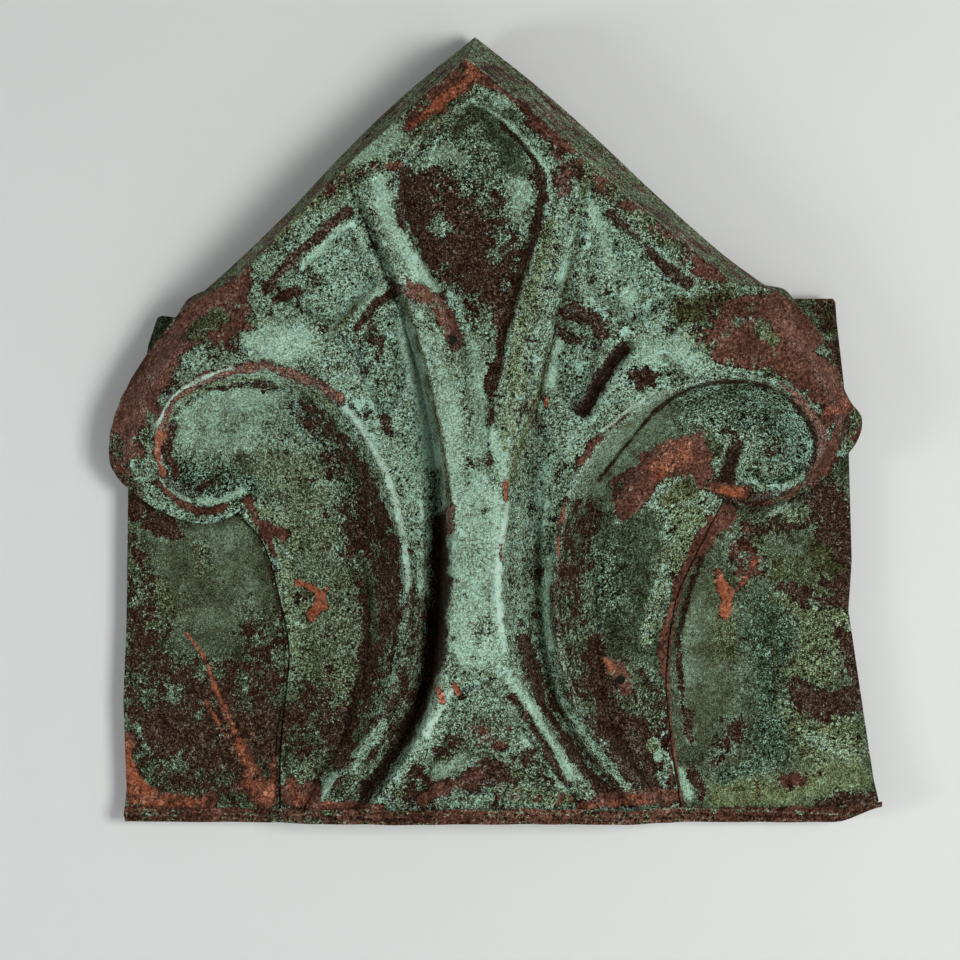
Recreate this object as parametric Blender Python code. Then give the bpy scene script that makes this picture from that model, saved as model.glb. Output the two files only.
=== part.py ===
"""Pressed copper gable front of a post cap: a fleur stalk between two scrolls.

Lengths inside this file are millimetres and become metres when a mesh is made.
X runs to the right, Z up, and the ornament faces -Y. The flat wing sheets have
their backs on the plane y = 0, and the cap stands on z = 0.
"""
import math

import bmesh
import bpy
import numpy as np
from mathutils import Vector
from mathutils.geometry import delaunay_2d_cdt

MM = 0.001

# Driving dimensions
SHEET = 1.5            # sheet thickness, measured front to back
WING_SHEET = 0.8       # thickness of the flat wing sheets
GAP = 0.5              # clear gap between two neighbouring pressings
REST_GAP = 0.3         # clear gap between a piece and the one it rests on
CELL = 2.0             # spacing of the relief grid
FINE = 10.0            # spacing of the mesh points on the pressings
COARSE = 24.0          # spacing of the mesh points on the flat wings
LEDGE = 0.9            # thickness of the base ledge and its lip
LIP_HEIGHT = 9.0
STRAP_THICK = 2.5
BACK = REST_GAP + STRAP_THICK   # plane of the strap and the ledge against the wall
STRAP_Z = (262.0, 280.0)
STRAP_X = (-196.0, 208.0)
HOLE_CLEAR = 0.35      # clearance between a shank and its hole
SEAT_RING = 4.4        # ring of mesh points round each hole, just outside the head

# Area that the relief grid covers
X_MIN, X_MAX = -236.0, 244.0
Z_MIN, Z_MAX = -4.0, 476.0

# Outline of the front, where the face folds back: (x, z, height)
GABLE_L = [(-8, 454, 41), (-56, 411, 41), (-79, 390, 41), (-106, 362, 40), (-146, 322, 38)]
GABLE_R = [(-8, 454, 41), (38, 416, 41), (64, 393, 41), (94, 366, 40), (151, 321, 38)]
EDGE_L = [(-146, 322, 38), (-165, 314, 26), (-182, 301, 18), (-204, 272, 13), (-218, 243, 12),
          (-221, 217, 10), (-211, 201, 8), (-190, 186, 6), (-165, 179, 5), (-145, 186, 6), (-134, 200, 8)]
EDGE_R = [(151, 321, 38), (172, 318, 26), (190, 308, 18), (208, 284, 13), (219, 256, 12),
          (228, 241, 12), (223, 226, 10), (208, 208, 8), (186, 194, 6), (165, 189, 5), (146, 194, 6),
          (139, 205, 8)]

# Joints between the pressings
GROOVE_L = [(-79, 390, 41), (-66, 357, 34), (-46, 305, 28), (-31, 253, 24), (-24, 200, 18), (-26, 140, 13),
            (-30, 86, 11), (-43, 50, 10), (-66, 18, 8), (-79, 2, 6)]
GROOVE_R = [(64, 393, 41), (57, 350, 34), (43, 288, 28), (34, 240, 24), (31, 193, 19), (32, 128, 16),
            (41, 80, 14), (60, 42, 10), (88, 10, 6), (96, 2, 6)]
RIDGE_L = [(-134, 200, 8), (-152, 214, 15), (-140, 226, 20), (-124, 228, 24), (-108, 219, 25), (-92, 201, 24),
           (-79, 178, 18)]
RIDGE_R = [(139, 205, 8), (159, 217, 15), (152, 230, 19), (136, 235, 22), (118, 228, 24), (100, 216, 24),
           (84, 198, 23), (76, 174, 18)]
CREASE_L = [(-79, 178, 18), (-71, 155, 13), (-67, 125, 12), (-70, 90, 10), (-80, 58, 9), (-105, 12, 6),
            (-109, 2, 5)]
CREASE_R = [(76, 174, 18), (71, 150, 13), (71, 120, 12), (74, 85, 10), (84, 50, 8), (109, 12, 6), (113, 2, 5)]
SEAM_L = [(-145, 186, 6), (-129, 166, 4), (-118, 127, 4), (-114, 98, 4), (-119, 45, 4), (-119, 2, 4)]
SEAM_R = [(146, 194, 6), (130, 163, 4), (117, 133, 4), (111, 90, 4), (114, 48, 4), (121, 2, 4)]
GUSSET_L = [(3, 86, 41), (-13, 76, 38), (-22, 48, 28), (-38, 18, 20), (-48, 2, 18)]
GUSSET_R = [(3, 86, 41), (16, 72, 36), (33, 48, 27), (58, 16, 18), (66, 2, 17)]

# Crests, rims and hollows pressed inside the pieces
CURVES = [
    # left and right edge of the stalk
    [(-76, 389, 41), (-60, 350, 44), (-41, 303, 46), (-26, 245, 48), (-18, 195, 48), (-17, 150, 47),
     (-20, 111, 45), (-28, 72, 38), (-42, 43, 30), (-64, 11, 21), (-71, 2, 20)],
    [(61, 389, 41), (53, 350, 41), (39, 288, 42), (26, 236, 42), (18, 185, 41), (17, 128, 40), (24, 87, 35),
     (42, 51, 27), (70, 13, 18), (79, 2, 17)],
    # rolled band down the right of the stalk
    [(52, 383, 46), (38, 326, 48), (28, 279, 49), (18, 229, 49), (13, 182, 49), (12, 135, 48), (16, 105, 44)],
    # rim of the spoon-shaped lobe, its floor and its middle
    [(-3, 430, 44), (-33, 409, 45), (-49, 382, 45), (-41, 348, 45), (-24, 309, 46), (-12, 273, 47), (-5, 217, 47)],
    [(-3, 430, 44), (24, 409, 45), (40, 377, 45), (32, 339, 45), (19, 293, 46), (9, 246, 47), (5, 217, 47)],
    [(-3, 421, 37), (-27, 402, 35), (-40, 380, 34), (-32, 344, 34), (-16, 307, 36), (-6, 275, 39), (-1, 228, 43)],
    [(-3, 421, 37), (18, 403, 35), (31, 376, 34), (24, 341, 34), (12, 300, 36), (5, 262, 39), (1, 228, 43)],
    [(-4, 400, 33), (-4, 350, 32), (-2, 300, 35)],
    # rims of the two scrolls
    [(-162, 193, 12), (-182, 203, 20), (-191, 222, 28), (-187, 246, 33), (-166, 266, 37), (-130, 272, 40),
     (-100, 264, 40), (-72, 238, 40), (-54, 200, 39), (-45, 158, 37), (-43, 120, 35), (-50, 85, 31),
     (-68, 49, 24), (-100, 10, 13), (-105, 2, 12)],
    [(164, 195, 12), (186, 201, 18), (201, 219, 26), (200, 238, 32), (184, 258, 36), (150, 266, 39),
     (114, 258, 40), (82, 238, 40), (62, 214, 39), (51, 190, 38), (44, 140, 36), (51, 87, 30), (70, 53, 23),
     (105, 14, 12), (110, 2, 10)],
    # hollows of the scrolls, running down into the flutes
    [(-160, 226, 10), (-148, 240, 11), (-126, 246, 15), (-103, 239, 16), (-85, 216, 14), (-73, 190, 12),
     (-67, 165, 11)],
    [(178, 222, 9), (170, 238, 10), (146, 247, 14), (116, 241, 16), (90, 221, 14), (73, 200, 12), (65, 170, 11)],
    # crests of the leaves, and the low strip where they lap over the wings
    [(-122, 208, 22), (-100, 182, 22), (-86, 145, 20), (-82, 105, 17), (-90, 62, 12), (-108, 20, 6)],
    [(122, 210, 21), (102, 188, 21), (90, 150, 19), (88, 105, 16), (94, 60, 11), (108, 22, 6)],
    [(-128, 180, 6), (-114, 160, 6), (-102, 127, 6), (-99, 95, 6), (-104, 50, 5)],
    [(132, 186, 6), (114, 158, 6), (104, 130, 6), (100, 90, 6), (104, 50, 5)],
    # crest of the foot gusset
    [(3, 80, 37), (2, 45, 27), (4, 25, 22), (4, 2, 18)],
    # slot beside the right scroll
    [(88, 284, 33), (76, 270, 28), (62, 246, 30)],
]

# Sunk panels between the stalk and the scrolls
PANELS = [
    [(-76, 359, 39), (-103, 336, 39), (-131, 315, 37), (-106, 303, 36), (-86, 294, 36), (-56, 323, 36)],
    [(-48, 311, 36), (-63, 300, 37), (-77, 283, 37), (-68, 258, 37), (-56, 236, 35), (-42, 262, 31)],
    [(68, 374, 39), (94, 348, 39), (125, 325, 38), (111, 307, 36), (93, 294, 36), (72, 310, 36), (60, 322, 36)],
    [(46, 302, 34), (55, 306, 36), (66, 302, 37), (73, 287, 37), (66, 262, 36), (54, 240, 34), (43, 262, 30)],
]
PANEL_SHRINK = 0.74
PANEL_DEPTH = 6.0

# Outer edges of the wing sheets, and the inner edges hidden behind the leaves
WING_OUT_L = [(-214, 2), (-214, 73), (-212, 121), (-211, 205), (-199, 286), (-191, 302)]
WING_IN_L = [(-176, 300), (-150, 262), (-140, 215), (-112, 184), (-96, 150), (-90, 98), (-94, 45), (-94, 2)]
WING_OUT_R = [(241, 2), (237, 25), (229, 73), (221, 127), (223, 157), (221, 229), (218, 265), (213, 314)]
WING_IN_R = [(178, 314), (156, 262), (146, 225), (114, 190), (98, 150), (90, 98), (94, 45), (96, 2)]

# Back edges of the sloping roof sheets
RAKE_BACK_L = [(-3, 471), (-48, 434), (-84, 399), (-114, 367), (-144, 338), (-165, 319)]
RAKE_BACK_R = [(-3, 471), (36, 440), (72, 408), (108, 374), (144, 342), (171, 322)]

# Front line of the base ledge: (x, y)
LEDGE_FRONT = [(-213, -3), (-130, -3), (-112, -12), (-76, -24), (4, -24), (80, -23), (112, -12), (130, -3),
               (241, -3)]

# Flat seats pressed round the fixings: (x, z, height, radius)
SEATS = {
    "rivet_lap_left_upper": (-112, 167, 4.6, 6.0),
    "rivet_lap_left_lower": (-104, 31, 4.2, 6.0),
    "rivet_lap_right_upper": (132, 181, 4.6, 6.0),
    "rivet_lap_right_lower": (103, 46, 4.6, 6.0),
    "nail_leaf_left": (-90, 93, 12.0, 4.5),
    "hole_leaf_right": (84, 86, 12.0, 5.0),
    "hole_stalk": (-16, 288, 44.5, 4.5),
}
RIVET_SHANK = 1.8
RIVET_HEAD = 4.2
NAIL_SHANK = 1.1
HOLE_LEAF = 2.7
HOLE_STALK = 2.3
STRAP_RIVETS = {
    "rivet_strap_1": (-186, 271),
    "rivet_strap_2": (-166, 271),
    "rivet_strap_3": (172, 271),
    "rivet_strap_4": (198, 271),
}

# Colours, roughness and metallic value of the materials
PRESSED_COPPER = ("pressed_copper", (0.17, 0.31, 0.24), 0.8, 0.1)
WING_COPPER = ("wing_copper", (0.08, 0.13, 0.09), 0.85, 0.1)
RAW_COPPER = ("raw_copper", (0.30, 0.12, 0.07), 0.6, 0.6)
SOLDER = ("solder", (0.32, 0.16, 0.10), 0.6, 0.5)
IRON = ("iron", (0.09, 0.07, 0.06), 0.8, 0.4)


def spline(points, step):
    """Smooth curve through the points, sampled about every step."""
    p = np.array(points, float)
    ends = np.vstack([2 * p[0] - p[1], p, 2 * p[-1] - p[-2]])
    out = []
    for i in range(1, len(ends) - 2):
        a, b, c, d = ends[i - 1:i + 3]
        count = max(1, int(math.ceil(np.hypot(*(c - b)[:2]) / step)))
        t = np.linspace(0.0, 1.0, count, endpoint=False)[:, None]
        out.append(0.5 * (2 * b + (c - a) * t + (2 * a - 5 * b + 4 * c - d) * t ** 2
                          + (3 * b - a - 3 * c + d) * t ** 3))
    out.append(p[-1:])
    return np.vstack(out)


def straight(points, step):
    """Straight runs between the points, sampled about every step."""
    p = np.array(points, float)
    out = []
    for a, b in zip(p[:-1], p[1:]):
        count = max(1, int(math.ceil(np.hypot(*(b - a)[:2]) / step)))
        out.append(a + (b - a) * np.linspace(0.0, 1.0, count, endpoint=False)[:, None])
    out.append(p[-1:])
    return np.vstack(out)


def panel_lines(step):
    """Rim and floor edge of each sunk panel."""
    out = []
    for panel in PANELS:
        rim = np.array(panel, float)
        floor = rim.copy()
        middle = rim[:, :2].mean(axis=0)
        floor[:, :2] = middle + (rim[:, :2] - middle) * PANEL_SHRINK
        floor[:, 2] -= PANEL_DEPTH
        for loop in (rim, floor):
            out.append(straight(np.vstack([loop, loop[:1]]), step))
    return out


def design_lines(step):
    """Every line that fixes the height of the relief."""
    named = [GABLE_L, GABLE_R, EDGE_L, EDGE_R, GROOVE_L, GROOVE_R, RIDGE_L, RIDGE_R, CREASE_L, CREASE_R,
             SEAM_L, SEAM_R, GUSSET_L, GUSSET_R]
    return [spline(line, step) for line in named + CURVES] + panel_lines(step)


def enlarge(grid, rows, columns):
    """The same grid with more rows and columns, filled in between."""
    z = np.linspace(0, grid.shape[0] - 1, rows)
    x = np.linspace(0, grid.shape[1] - 1, columns)
    row = np.clip(z.astype(int), 0, grid.shape[0] - 2)
    column = np.clip(x.astype(int), 0, grid.shape[1] - 2)
    tz = (z - row)[:, None]
    tx = (x - column)[None]
    low = grid[row][:, column] * (1 - tx) + grid[row][:, column + 1] * tx
    high = grid[row + 1][:, column] * (1 - tx) + grid[row + 1][:, column + 1] * tx
    return low * (1 - tz) + high * tz


def solve_relief():
    """Heights of a sheet stretched over the design lines, from a coarse grid to a fine one."""
    grid = None
    size = CELL * 8
    while size >= CELL:
        columns = int(round((X_MAX - X_MIN) / size)) + 1
        rows = int(round((Z_MAX - Z_MIN) / size)) + 1
        total = np.zeros((rows, columns))
        count = np.zeros((rows, columns))
        for line in design_lines(size * 0.4):
            column = np.clip(np.round((line[:, 0] - X_MIN) / size).astype(int), 0, columns - 1)
            row = np.clip(np.round((line[:, 1] - Z_MIN) / size).astype(int), 0, rows - 1)
            np.add.at(total, (row, column), line[:, 2])
            np.add.at(count, (row, column), 1)
        held = count > 0
        height = total[held] / count[held]
        grid = np.full((rows, columns), 20.0) if grid is None else enlarge(grid, rows, columns)
        for _ in range(200):
            grid[held] = height
            wide = np.pad(grid, 1, mode="edge")
            grid = (wide[:-2, 1:-1] + wide[2:, 1:-1] + wide[1:-1, :-2] + wide[1:-1, 2:]) / 4
        grid[held] = height
        size /= 2
    return grid


RELIEF = solve_relief()


def relief_height(x, z):
    """Height of the pressings in front of the plane y = 0."""
    column = (x - X_MIN) / CELL
    row = (z - Z_MIN) / CELL
    i = min(max(int(column), 0), RELIEF.shape[1] - 2)
    j = min(max(int(row), 0), RELIEF.shape[0] - 2)
    u = column - i
    v = row - j
    low = RELIEF[j, i] * (1 - u) + RELIEF[j, i + 1] * u
    high = RELIEF[j + 1, i] * (1 - u) + RELIEF[j + 1, i + 1] * u
    height = low * (1 - v) + high * v
    for seat_x, seat_z, seat_height, radius in SEATS.values():
        away = math.hypot(x - seat_x, z - seat_z)
        if away < radius * 1.8:
            blend = min(max((away - radius) / (radius * 0.8), 0.0), 1.0)
            height = seat_height * (1 - blend) + height * blend
    return height


def wing_height(x, z):
    """The wing sheets are flat."""
    return WING_SHEET


def shrink(loop, distance):
    """Move a closed outline inwards by a distance."""
    p = np.array(loop, float)[:, :2]
    before = np.roll(p, 1, axis=0)
    after = np.roll(p, -1, axis=0)
    area = np.sum(p[:, 0] * after[:, 1] - after[:, 0] * p[:, 1])
    turn = 1.0 if area > 0 else -1.0
    out = []
    for a, b, c in zip(before, p, after):
        first = (b - a) / np.linalg.norm(b - a)
        second = (c - b) / np.linalg.norm(c - b)
        normal = np.array([-(first + second)[1], (first + second)[0]]) * turn
        length = np.linalg.norm(normal)
        normal = normal / length if length > 1e-6 else np.zeros(2)
        spread = max(length / 2, 0.45)
        out.append(b + normal * distance / spread)
    return np.array(out)


def inside(point, loop):
    """Whether a point lies inside a closed outline."""
    x, z = point
    a = loop
    b = np.roll(loop, -1, axis=0)
    crosses = (a[:, 1] > z) != (b[:, 1] > z)
    if not crosses.any():
        return False
    a = a[crosses]
    b = b[crosses]
    at = a[:, 0] + (z - a[:, 1]) * (b[:, 0] - a[:, 0]) / (b[:, 1] - a[:, 1])
    return bool(np.sum(at > x) % 2)


def join(*lines):
    """One closed outline from lines that follow each other, without doubled points."""
    out = []
    for line in lines:
        for point in np.array(line, float)[:, :2]:
            if not out or np.linalg.norm(point - out[-1]) > 0.4:
                out.append(point)
    if np.linalg.norm(out[0] - out[-1]) < 0.4:
        out.pop()
    return np.array(out)


def circle(x, z, radius, count):
    """Closed ring of points."""
    return np.array([(x + radius * math.cos(2 * math.pi * k / count),
                      z + radius * math.sin(2 * math.pi * k / count)) for k in range(count)])


def material(spec):
    """The named Principled material, made once."""
    name, colour, roughness, metallic = spec
    if name in bpy.data.materials:
        return bpy.data.materials[name]
    made = bpy.data.materials.new(name)
    made.use_nodes = True
    shader = made.node_tree.nodes["Principled BSDF"]
    shader.inputs["Base Color"].default_value = (*colour, 1.0)
    shader.inputs["Roughness"].default_value = roughness
    shader.inputs["Metallic"].default_value = metallic
    return made


def add_object(name, verts, faces, spec, smooth=True):
    """An object with its own origin, from points in millimetres."""
    points = np.array(verts, float)
    origin = (points.min(axis=0) + points.max(axis=0)) / 2
    mesh = bpy.data.meshes.new(name)
    mesh.from_pydata([tuple((p - origin) * MM) for p in points], [], faces)
    shape = bmesh.new()
    shape.from_mesh(mesh)
    bmesh.ops.recalc_face_normals(shape, faces=shape.faces)
    shape.to_mesh(mesh)
    shape.free()
    if smooth:
        mesh.shade_smooth()
        mesh.set_sharp_from_angle(angle=math.radians(35))
    mesh.materials.append(material(spec))
    made = bpy.data.objects.new(name, mesh)
    bpy.context.scene.collection.objects.link(made)
    made.location = Vector(origin * MM)
    made.parent = ROOT
    return made


def pressing(name, loop, height, thick, spacing, spec, holes=()):
    """A closed sheet inside an outline, its front following a height."""
    edge = shrink(loop, GAP / 2)
    rings = [circle(*hole, 12) for hole in holes]
    kept = []
    edges = []
    for ring in [edge] + rings:
        start = len(kept)
        kept.extend(ring)
        edges += [(start + k, start + (k + 1) % len(ring)) for k in range(len(ring))]

    def keep(point, apart):
        """Take a point that lies on the sheet and apart from the others, and give its index."""
        away = np.hypot(*(np.array(kept) - point).T).min()
        if away < apart or not inside(point, edge) or any(inside(point, ring) for ring in rings):
            return None
        kept.append(point)
        return len(kept) - 1

    for hole_x, hole_z, _ in holes:
        for point in circle(hole_x, hole_z, SEAT_RING, 9):
            keep(point, 1.5)
    if spacing < COARSE:
        for line in design_lines(spacing):
            last = None
            for point in line[:, :2]:
                index = keep(point, spacing * 0.22)
                if index is not None and last is not None:
                    if math.dist(kept[last], point) < spacing * 1.3:
                        edges.append((last, index))
                last = index
    low = edge.min(axis=0)
    high = edge.max(axis=0)
    row_step = spacing * math.sqrt(3) / 2
    for row in range(int((high[1] - low[1]) / row_step) + 1):
        z = low[1] + (row + 0.5) * row_step
        for column in range(int((high[0] - low[0]) / spacing) + 1):
            keep(np.array([low[0] + (column + 0.5 * (row % 2)) * spacing, z]), spacing * 0.55)
    flat = delaunay_2d_cdt([Vector(p) for p in kept], edges, [], 0, 1e-4)
    points = [np.array(p) for p in flat[0]]
    triangles = []
    for face in flat[2]:
        middle = sum(points[k] for k in face) / len(face)
        if inside(middle, edge) and not any(inside(middle, ring) for ring in rings):
            triangles.append(list(face))
    used = sorted({k for face in triangles for k in face})
    order = {old: new for new, old in enumerate(used)}
    count = len(used)
    front = [(points[k][0], -height(*points[k]), points[k][1]) for k in used]
    back = [(x, y + thick, z) for x, y, z in front]
    faces = []
    sides = {}
    for face in triangles:
        a, b, c = (order[k] for k in face)
        faces.append((a, b, c))
        faces.append((count + c, count + b, count + a))
        for side in ((a, b), (b, c), (c, a)):
            sides[side] = True
    for a, b in sides:
        if (b, a) not in sides:
            faces.append((b, a, count + a, count + b))
    return add_object(name, front + back, faces, spec)


def strip(name, stations, spec):
    """A bent plate through a row of four-cornered sections, closed at both ends."""
    verts = [corner for section in stations for corner in section]
    size = len(stations[0])
    faces = [tuple(range(size)), tuple(reversed(range(len(verts) - size, len(verts))))]
    for k in range(len(stations) - 1):
        for side in range(size):
            after = (side + 1) % size
            faces.append((k * size + side, k * size + after, (k + 1) * size + after, (k + 1) * size + side))
    return add_object(name, verts, faces, spec)


def return_strip(name, front_line, back_line, back_y, spec, thick=1.0):
    """A sheet that folds back from the edge of the face to a line near the wall."""
    stations = []
    middle = np.array([0.0, 230.0])
    for (x, z, height), (bx, bz) in zip(front_line, back_line):
        inward = middle - np.array([x, z])
        inward = inward / np.linalg.norm(inward) * thick
        front_y = -(height - SHEET - GAP)
        stations.append([
            (x, front_y, z), (bx, back_y, bz),
            (bx + inward[0], back_y, bz + inward[1]), (x + inward[0], front_y, z + inward[1])])
    return strip(name, stations, spec)


def evenly(line, count):
    """The same line with a number of evenly spaced points."""
    p = np.array(line, float)
    run = np.concatenate([[0], np.cumsum(np.hypot(*np.diff(p[:, :2], axis=0).T))])
    at = np.linspace(0, run[-1], count)
    return np.array([[np.interp(s, run, p[:, k]) for k in range(p.shape[1])] for s in at])


def turned(profile, sides):
    """Mesh data of a solid turned about the Y axis: (radius, y) points from tip to tip."""
    verts = [(0.0, profile[0][1], 0.0)]
    rings = []
    for radius, y in profile[1:-1]:
        rings.append(len(verts))
        for k in range(sides):
            angle = 2 * math.pi * k / sides
            verts.append((radius * math.cos(angle), y, radius * math.sin(angle)))
    tip = len(verts)
    verts.append((0.0, profile[-1][1], 0.0))
    faces = []
    for k in range(sides):
        after = (k + 1) % sides
        faces.append((0, rings[0] + k, rings[0] + after))
        for low, high in zip(rings[:-1], rings[1:]):
            faces.append((low + k, high + k, high + after, low + after))
        faces.append((rings[-1] + k, tip, rings[-1] + after))
    return verts, faces


def fixing_mesh(name, profile, spec):
    """A turned rivet or nail as a mesh about its own origin."""
    verts, faces = turned(profile, 12)
    mesh = bpy.data.meshes.new(name)
    mesh.from_pydata([tuple(np.array(v) * MM) for v in verts], [], faces)
    shape = bmesh.new()
    shape.from_mesh(mesh)
    bmesh.ops.recalc_face_normals(shape, faces=shape.faces)
    shape.to_mesh(mesh)
    shape.free()
    mesh.shade_smooth()
    mesh.set_sharp_from_angle(angle=math.radians(35))
    mesh.materials.append(material(spec))
    return mesh


def place_fixing(name, mesh, x, y, z):
    """One rivet or nail at its place."""
    made = bpy.data.objects.new(name, mesh)
    bpy.context.scene.collection.objects.link(made)
    made.location = (x * MM, y * MM, z * MM)
    made.parent = ROOT
    return made


def rivet_profile(grip, shank, head, dome, tail):
    """Domed head in front, shank through the sheets, and a flat tail head behind, or none where it ends flush."""
    front = [(0, -dome), (head * 0.55, -dome * 0.85), (head * 0.9, -dome * 0.45), (head, 0), (shank, 0),
             (shank, grip)]
    if tail is None:
        return front + [(0, grip)]
    return front + [(tail, grip), (tail * 0.9, grip + 1.0), (0, grip + 1.2)]


for old in list(bpy.data.objects):
    bpy.data.objects.remove(old, do_unlink=True)

ROOT = bpy.data.objects.new("cap_root", None)
bpy.context.scene.collection.objects.link(ROOT)

STEP = FINE
gable_l = spline(GABLE_L, STEP)
gable_r = spline(GABLE_R, STEP)
edge_l = spline(EDGE_L, STEP)
edge_r = spline(EDGE_R, STEP)
groove_l = spline(GROOVE_L, STEP)
groove_r = spline(GROOVE_R, STEP)
inner_l = np.vstack([spline(RIDGE_L, STEP), spline(CREASE_L, STEP)])
inner_r = np.vstack([spline(RIDGE_R, STEP), spline(CREASE_R, STEP)])
seam_l = spline(SEAM_L, STEP)
seam_r = spline(SEAM_R, STEP)
gusset_l = spline(GUSSET_L, STEP)
gusset_r = spline(GUSSET_R, STEP)


def upto(line, x, z):
    """Index of the sample that lies on a named point of a line."""
    return int(np.argmin(np.hypot(line[:, 0] - x, line[:, 1] - z)))


gable_l_split = upto(gable_l, *GROOVE_L[0][:2])
gable_r_split = upto(gable_r, *GROOVE_R[0][:2])
edge_l_split = upto(edge_l, *SEAM_L[0][:2])
edge_r_split = upto(edge_r, *SEAM_R[0][:2])

# The stalk with its lobe and the top of the gable, cut round the foot gusset
stalk_loop = join(gable_l[:gable_l_split + 1], groove_l, gusset_l[::-1], gusset_r, groove_r[::-1],
                  gable_r[:gable_r_split + 1][::-1])
stalk_hole = (*SEATS["hole_stalk"][:2], HOLE_STALK)
pressing("palmette_stalk", stalk_loop, relief_height, SHEET, FINE, PRESSED_COPPER, [stalk_hole])

# The gusset that closes the foot of the stalk
pressing("foot_gusset", join(gusset_l, gusset_r[::-1]), relief_height, SHEET, FINE, PRESSED_COPPER)

# The scrolls, each with its side panels, rim and flute
pressing("scroll_left", join(gable_l[gable_l_split:], edge_l, inner_l, groove_l[::-1]), relief_height, SHEET,
         FINE, PRESSED_COPPER)
pressing("scroll_right", join(gable_r[gable_r_split:], edge_r, inner_r, groove_r[::-1]), relief_height, SHEET,
         FINE, PRESSED_COPPER)

# The leaves between the flutes and the seams, pierced for their fixings
rivet_hole = RIVET_SHANK + HOLE_CLEAR
nail_hole = NAIL_SHANK + HOLE_CLEAR
leaf_holes_l = [(*SEATS["rivet_lap_left_upper"][:2], rivet_hole), (*SEATS["rivet_lap_left_lower"][:2], rivet_hole)]
leaf_holes_r = [(*SEATS["rivet_lap_right_upper"][:2], rivet_hole),
                (*SEATS["rivet_lap_right_lower"][:2], rivet_hole)]
pressing("leaf_left", join(seam_l[::-1], edge_l[edge_l_split:], inner_l), relief_height, SHEET, FINE,
         PRESSED_COPPER, leaf_holes_l + [(*SEATS["nail_leaf_left"][:2], nail_hole)])
pressing("leaf_right", join(seam_r[::-1], edge_r[edge_r_split:], inner_r), relief_height, SHEET, FINE,
         PRESSED_COPPER, leaf_holes_r + [(*SEATS["hole_leaf_right"][:2], HOLE_LEAF)])

# The flat wings behind the leaves, pierced for the lap rivets and the strap rivets
strap_places = list(STRAP_RIVETS.values())
wing_holes_l = leaf_holes_l + [(x, z, rivet_hole) for x, z in strap_places[:2]]
wing_holes_r = leaf_holes_r + [(x, z, rivet_hole) for x, z in strap_places[2:]]
pressing("wing_left", join(straight(WING_OUT_L, COARSE), straight(WING_IN_L, COARSE)), wing_height, WING_SHEET,
         COARSE, WING_COPPER, wing_holes_l)
pressing("wing_right", join(straight(WING_OUT_R, COARSE), straight(WING_IN_R, COARSE)), wing_height, WING_SHEET,
         COARSE, WING_COPPER, wing_holes_r)

# Roof sheets that fold back from the two slopes of the gable
for side, front_line, back_points in (("left", gable_l, RAKE_BACK_L), ("right", gable_r, RAKE_BACK_R)):
    sign = -1.0 if side == "left" else 1.0
    front = evenly(front_line, 15)
    back = evenly(spline(back_points, STEP), 15)
    front[0, 0] += sign * 0.8
    back[0, 0] += sign * 0.8
    front[:, 1] += 0.4
    return_strip("rake_return_" + side, front[:-1], back[:-1], 0.0, RAW_COPPER)

# Edge strips round the shoulders, from the end of each slope down to the side of the scroll
for side, line, low in (("left", edge_l, EDGE_L[6]), ("right", edge_r, EDGE_R[7])):
    front = evenly(line[:upto(line, *low[:2]) + 1], 16)
    outward = np.array([1.5 if side == "right" else -1.5, 0.0])
    return_strip("shoulder_return_" + side, front, front[:, :2] + outward, -(WING_SHEET + GAP), RAW_COPPER)

# Base ledge that closes the bottom, with a low lip in front
front_line = spline(LEDGE_FRONT, 14.0)
ledge = []
for x, y in front_line:
    y = min(y, -3.0)
    ledge.append([(x, BACK, 0.0), (x, y, 0.0), (x, y, LIP_HEIGHT), (x, y + LEDGE, LIP_HEIGHT),
                  (x, y + LEDGE, LEDGE), (x, BACK, LEDGE)])
strip("base_flange", ledge, RAW_COPPER)

# Solder beads along the seams between leaf and wing
for side, line, sign in (("left", seam_l, -1.0), ("right", seam_r, 1.0)):
    run = evenly(line, 18)[1:]
    run[-1, 1] = 10.0
    bead = []
    for x, z, _ in run:
        bead.append([(x + sign * 0.7, -1.2, z), (x + sign * 0.7, -3.0, z), (x + sign * 1.9, -3.2, z),
                     (x + sign * 3.0, -2.2, z), (x + sign * 3.2, -1.2, z)])
    strip("seam_bead_" + side, bead, SOLDER)

# Flat iron strap across the back, pierced for its four rivets
strap_edge = np.array([(STRAP_X[0], STRAP_Z[0]), (STRAP_X[1], STRAP_Z[0]), (STRAP_X[1], STRAP_Z[1]),
                       (STRAP_X[0], STRAP_Z[1])], float)
pressing("back_strap", strap_edge, lambda x, z: -REST_GAP, STRAP_THICK, 60.0, IRON,
         [(x, z, rivet_hole) for x, z in strap_places])

# Rivets of the laps and of the strap, and the nail in the left leaf
for name in ("rivet_lap_left_upper", "rivet_lap_left_lower", "rivet_lap_right_upper", "rivet_lap_right_lower"):
    x, z, height, _ = SEATS[name]
    grip = height + 2 * REST_GAP
    mesh = fixing_mesh(name, rivet_profile(grip, RIVET_SHANK, RIVET_HEAD, 1.6, 3.4), RAW_COPPER)
    place_fixing(name, mesh, x, -(height + REST_GAP), z)
strap_grip = WING_SHEET + BACK
strap_rivet = fixing_mesh("strap_rivet", rivet_profile(strap_grip, RIVET_SHANK, RIVET_HEAD, 1.6, None), IRON)
for name, (x, z) in STRAP_RIVETS.items():
    place_fixing(name, strap_rivet, x, -(WING_SHEET + REST_GAP), z)
nail_x, nail_z, nail_height, _ = SEATS["nail_leaf_left"]
nail = fixing_mesh("nail", [(0, -0.8), (1.8, -0.7), (2.6, 0), (NAIL_SHANK, 0), (NAIL_SHANK, 6.5), (0, 8.5)], IRON)
place_fixing("nail_leaf_left", nail, nail_x, -(nail_height + REST_GAP), nail_z)
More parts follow.
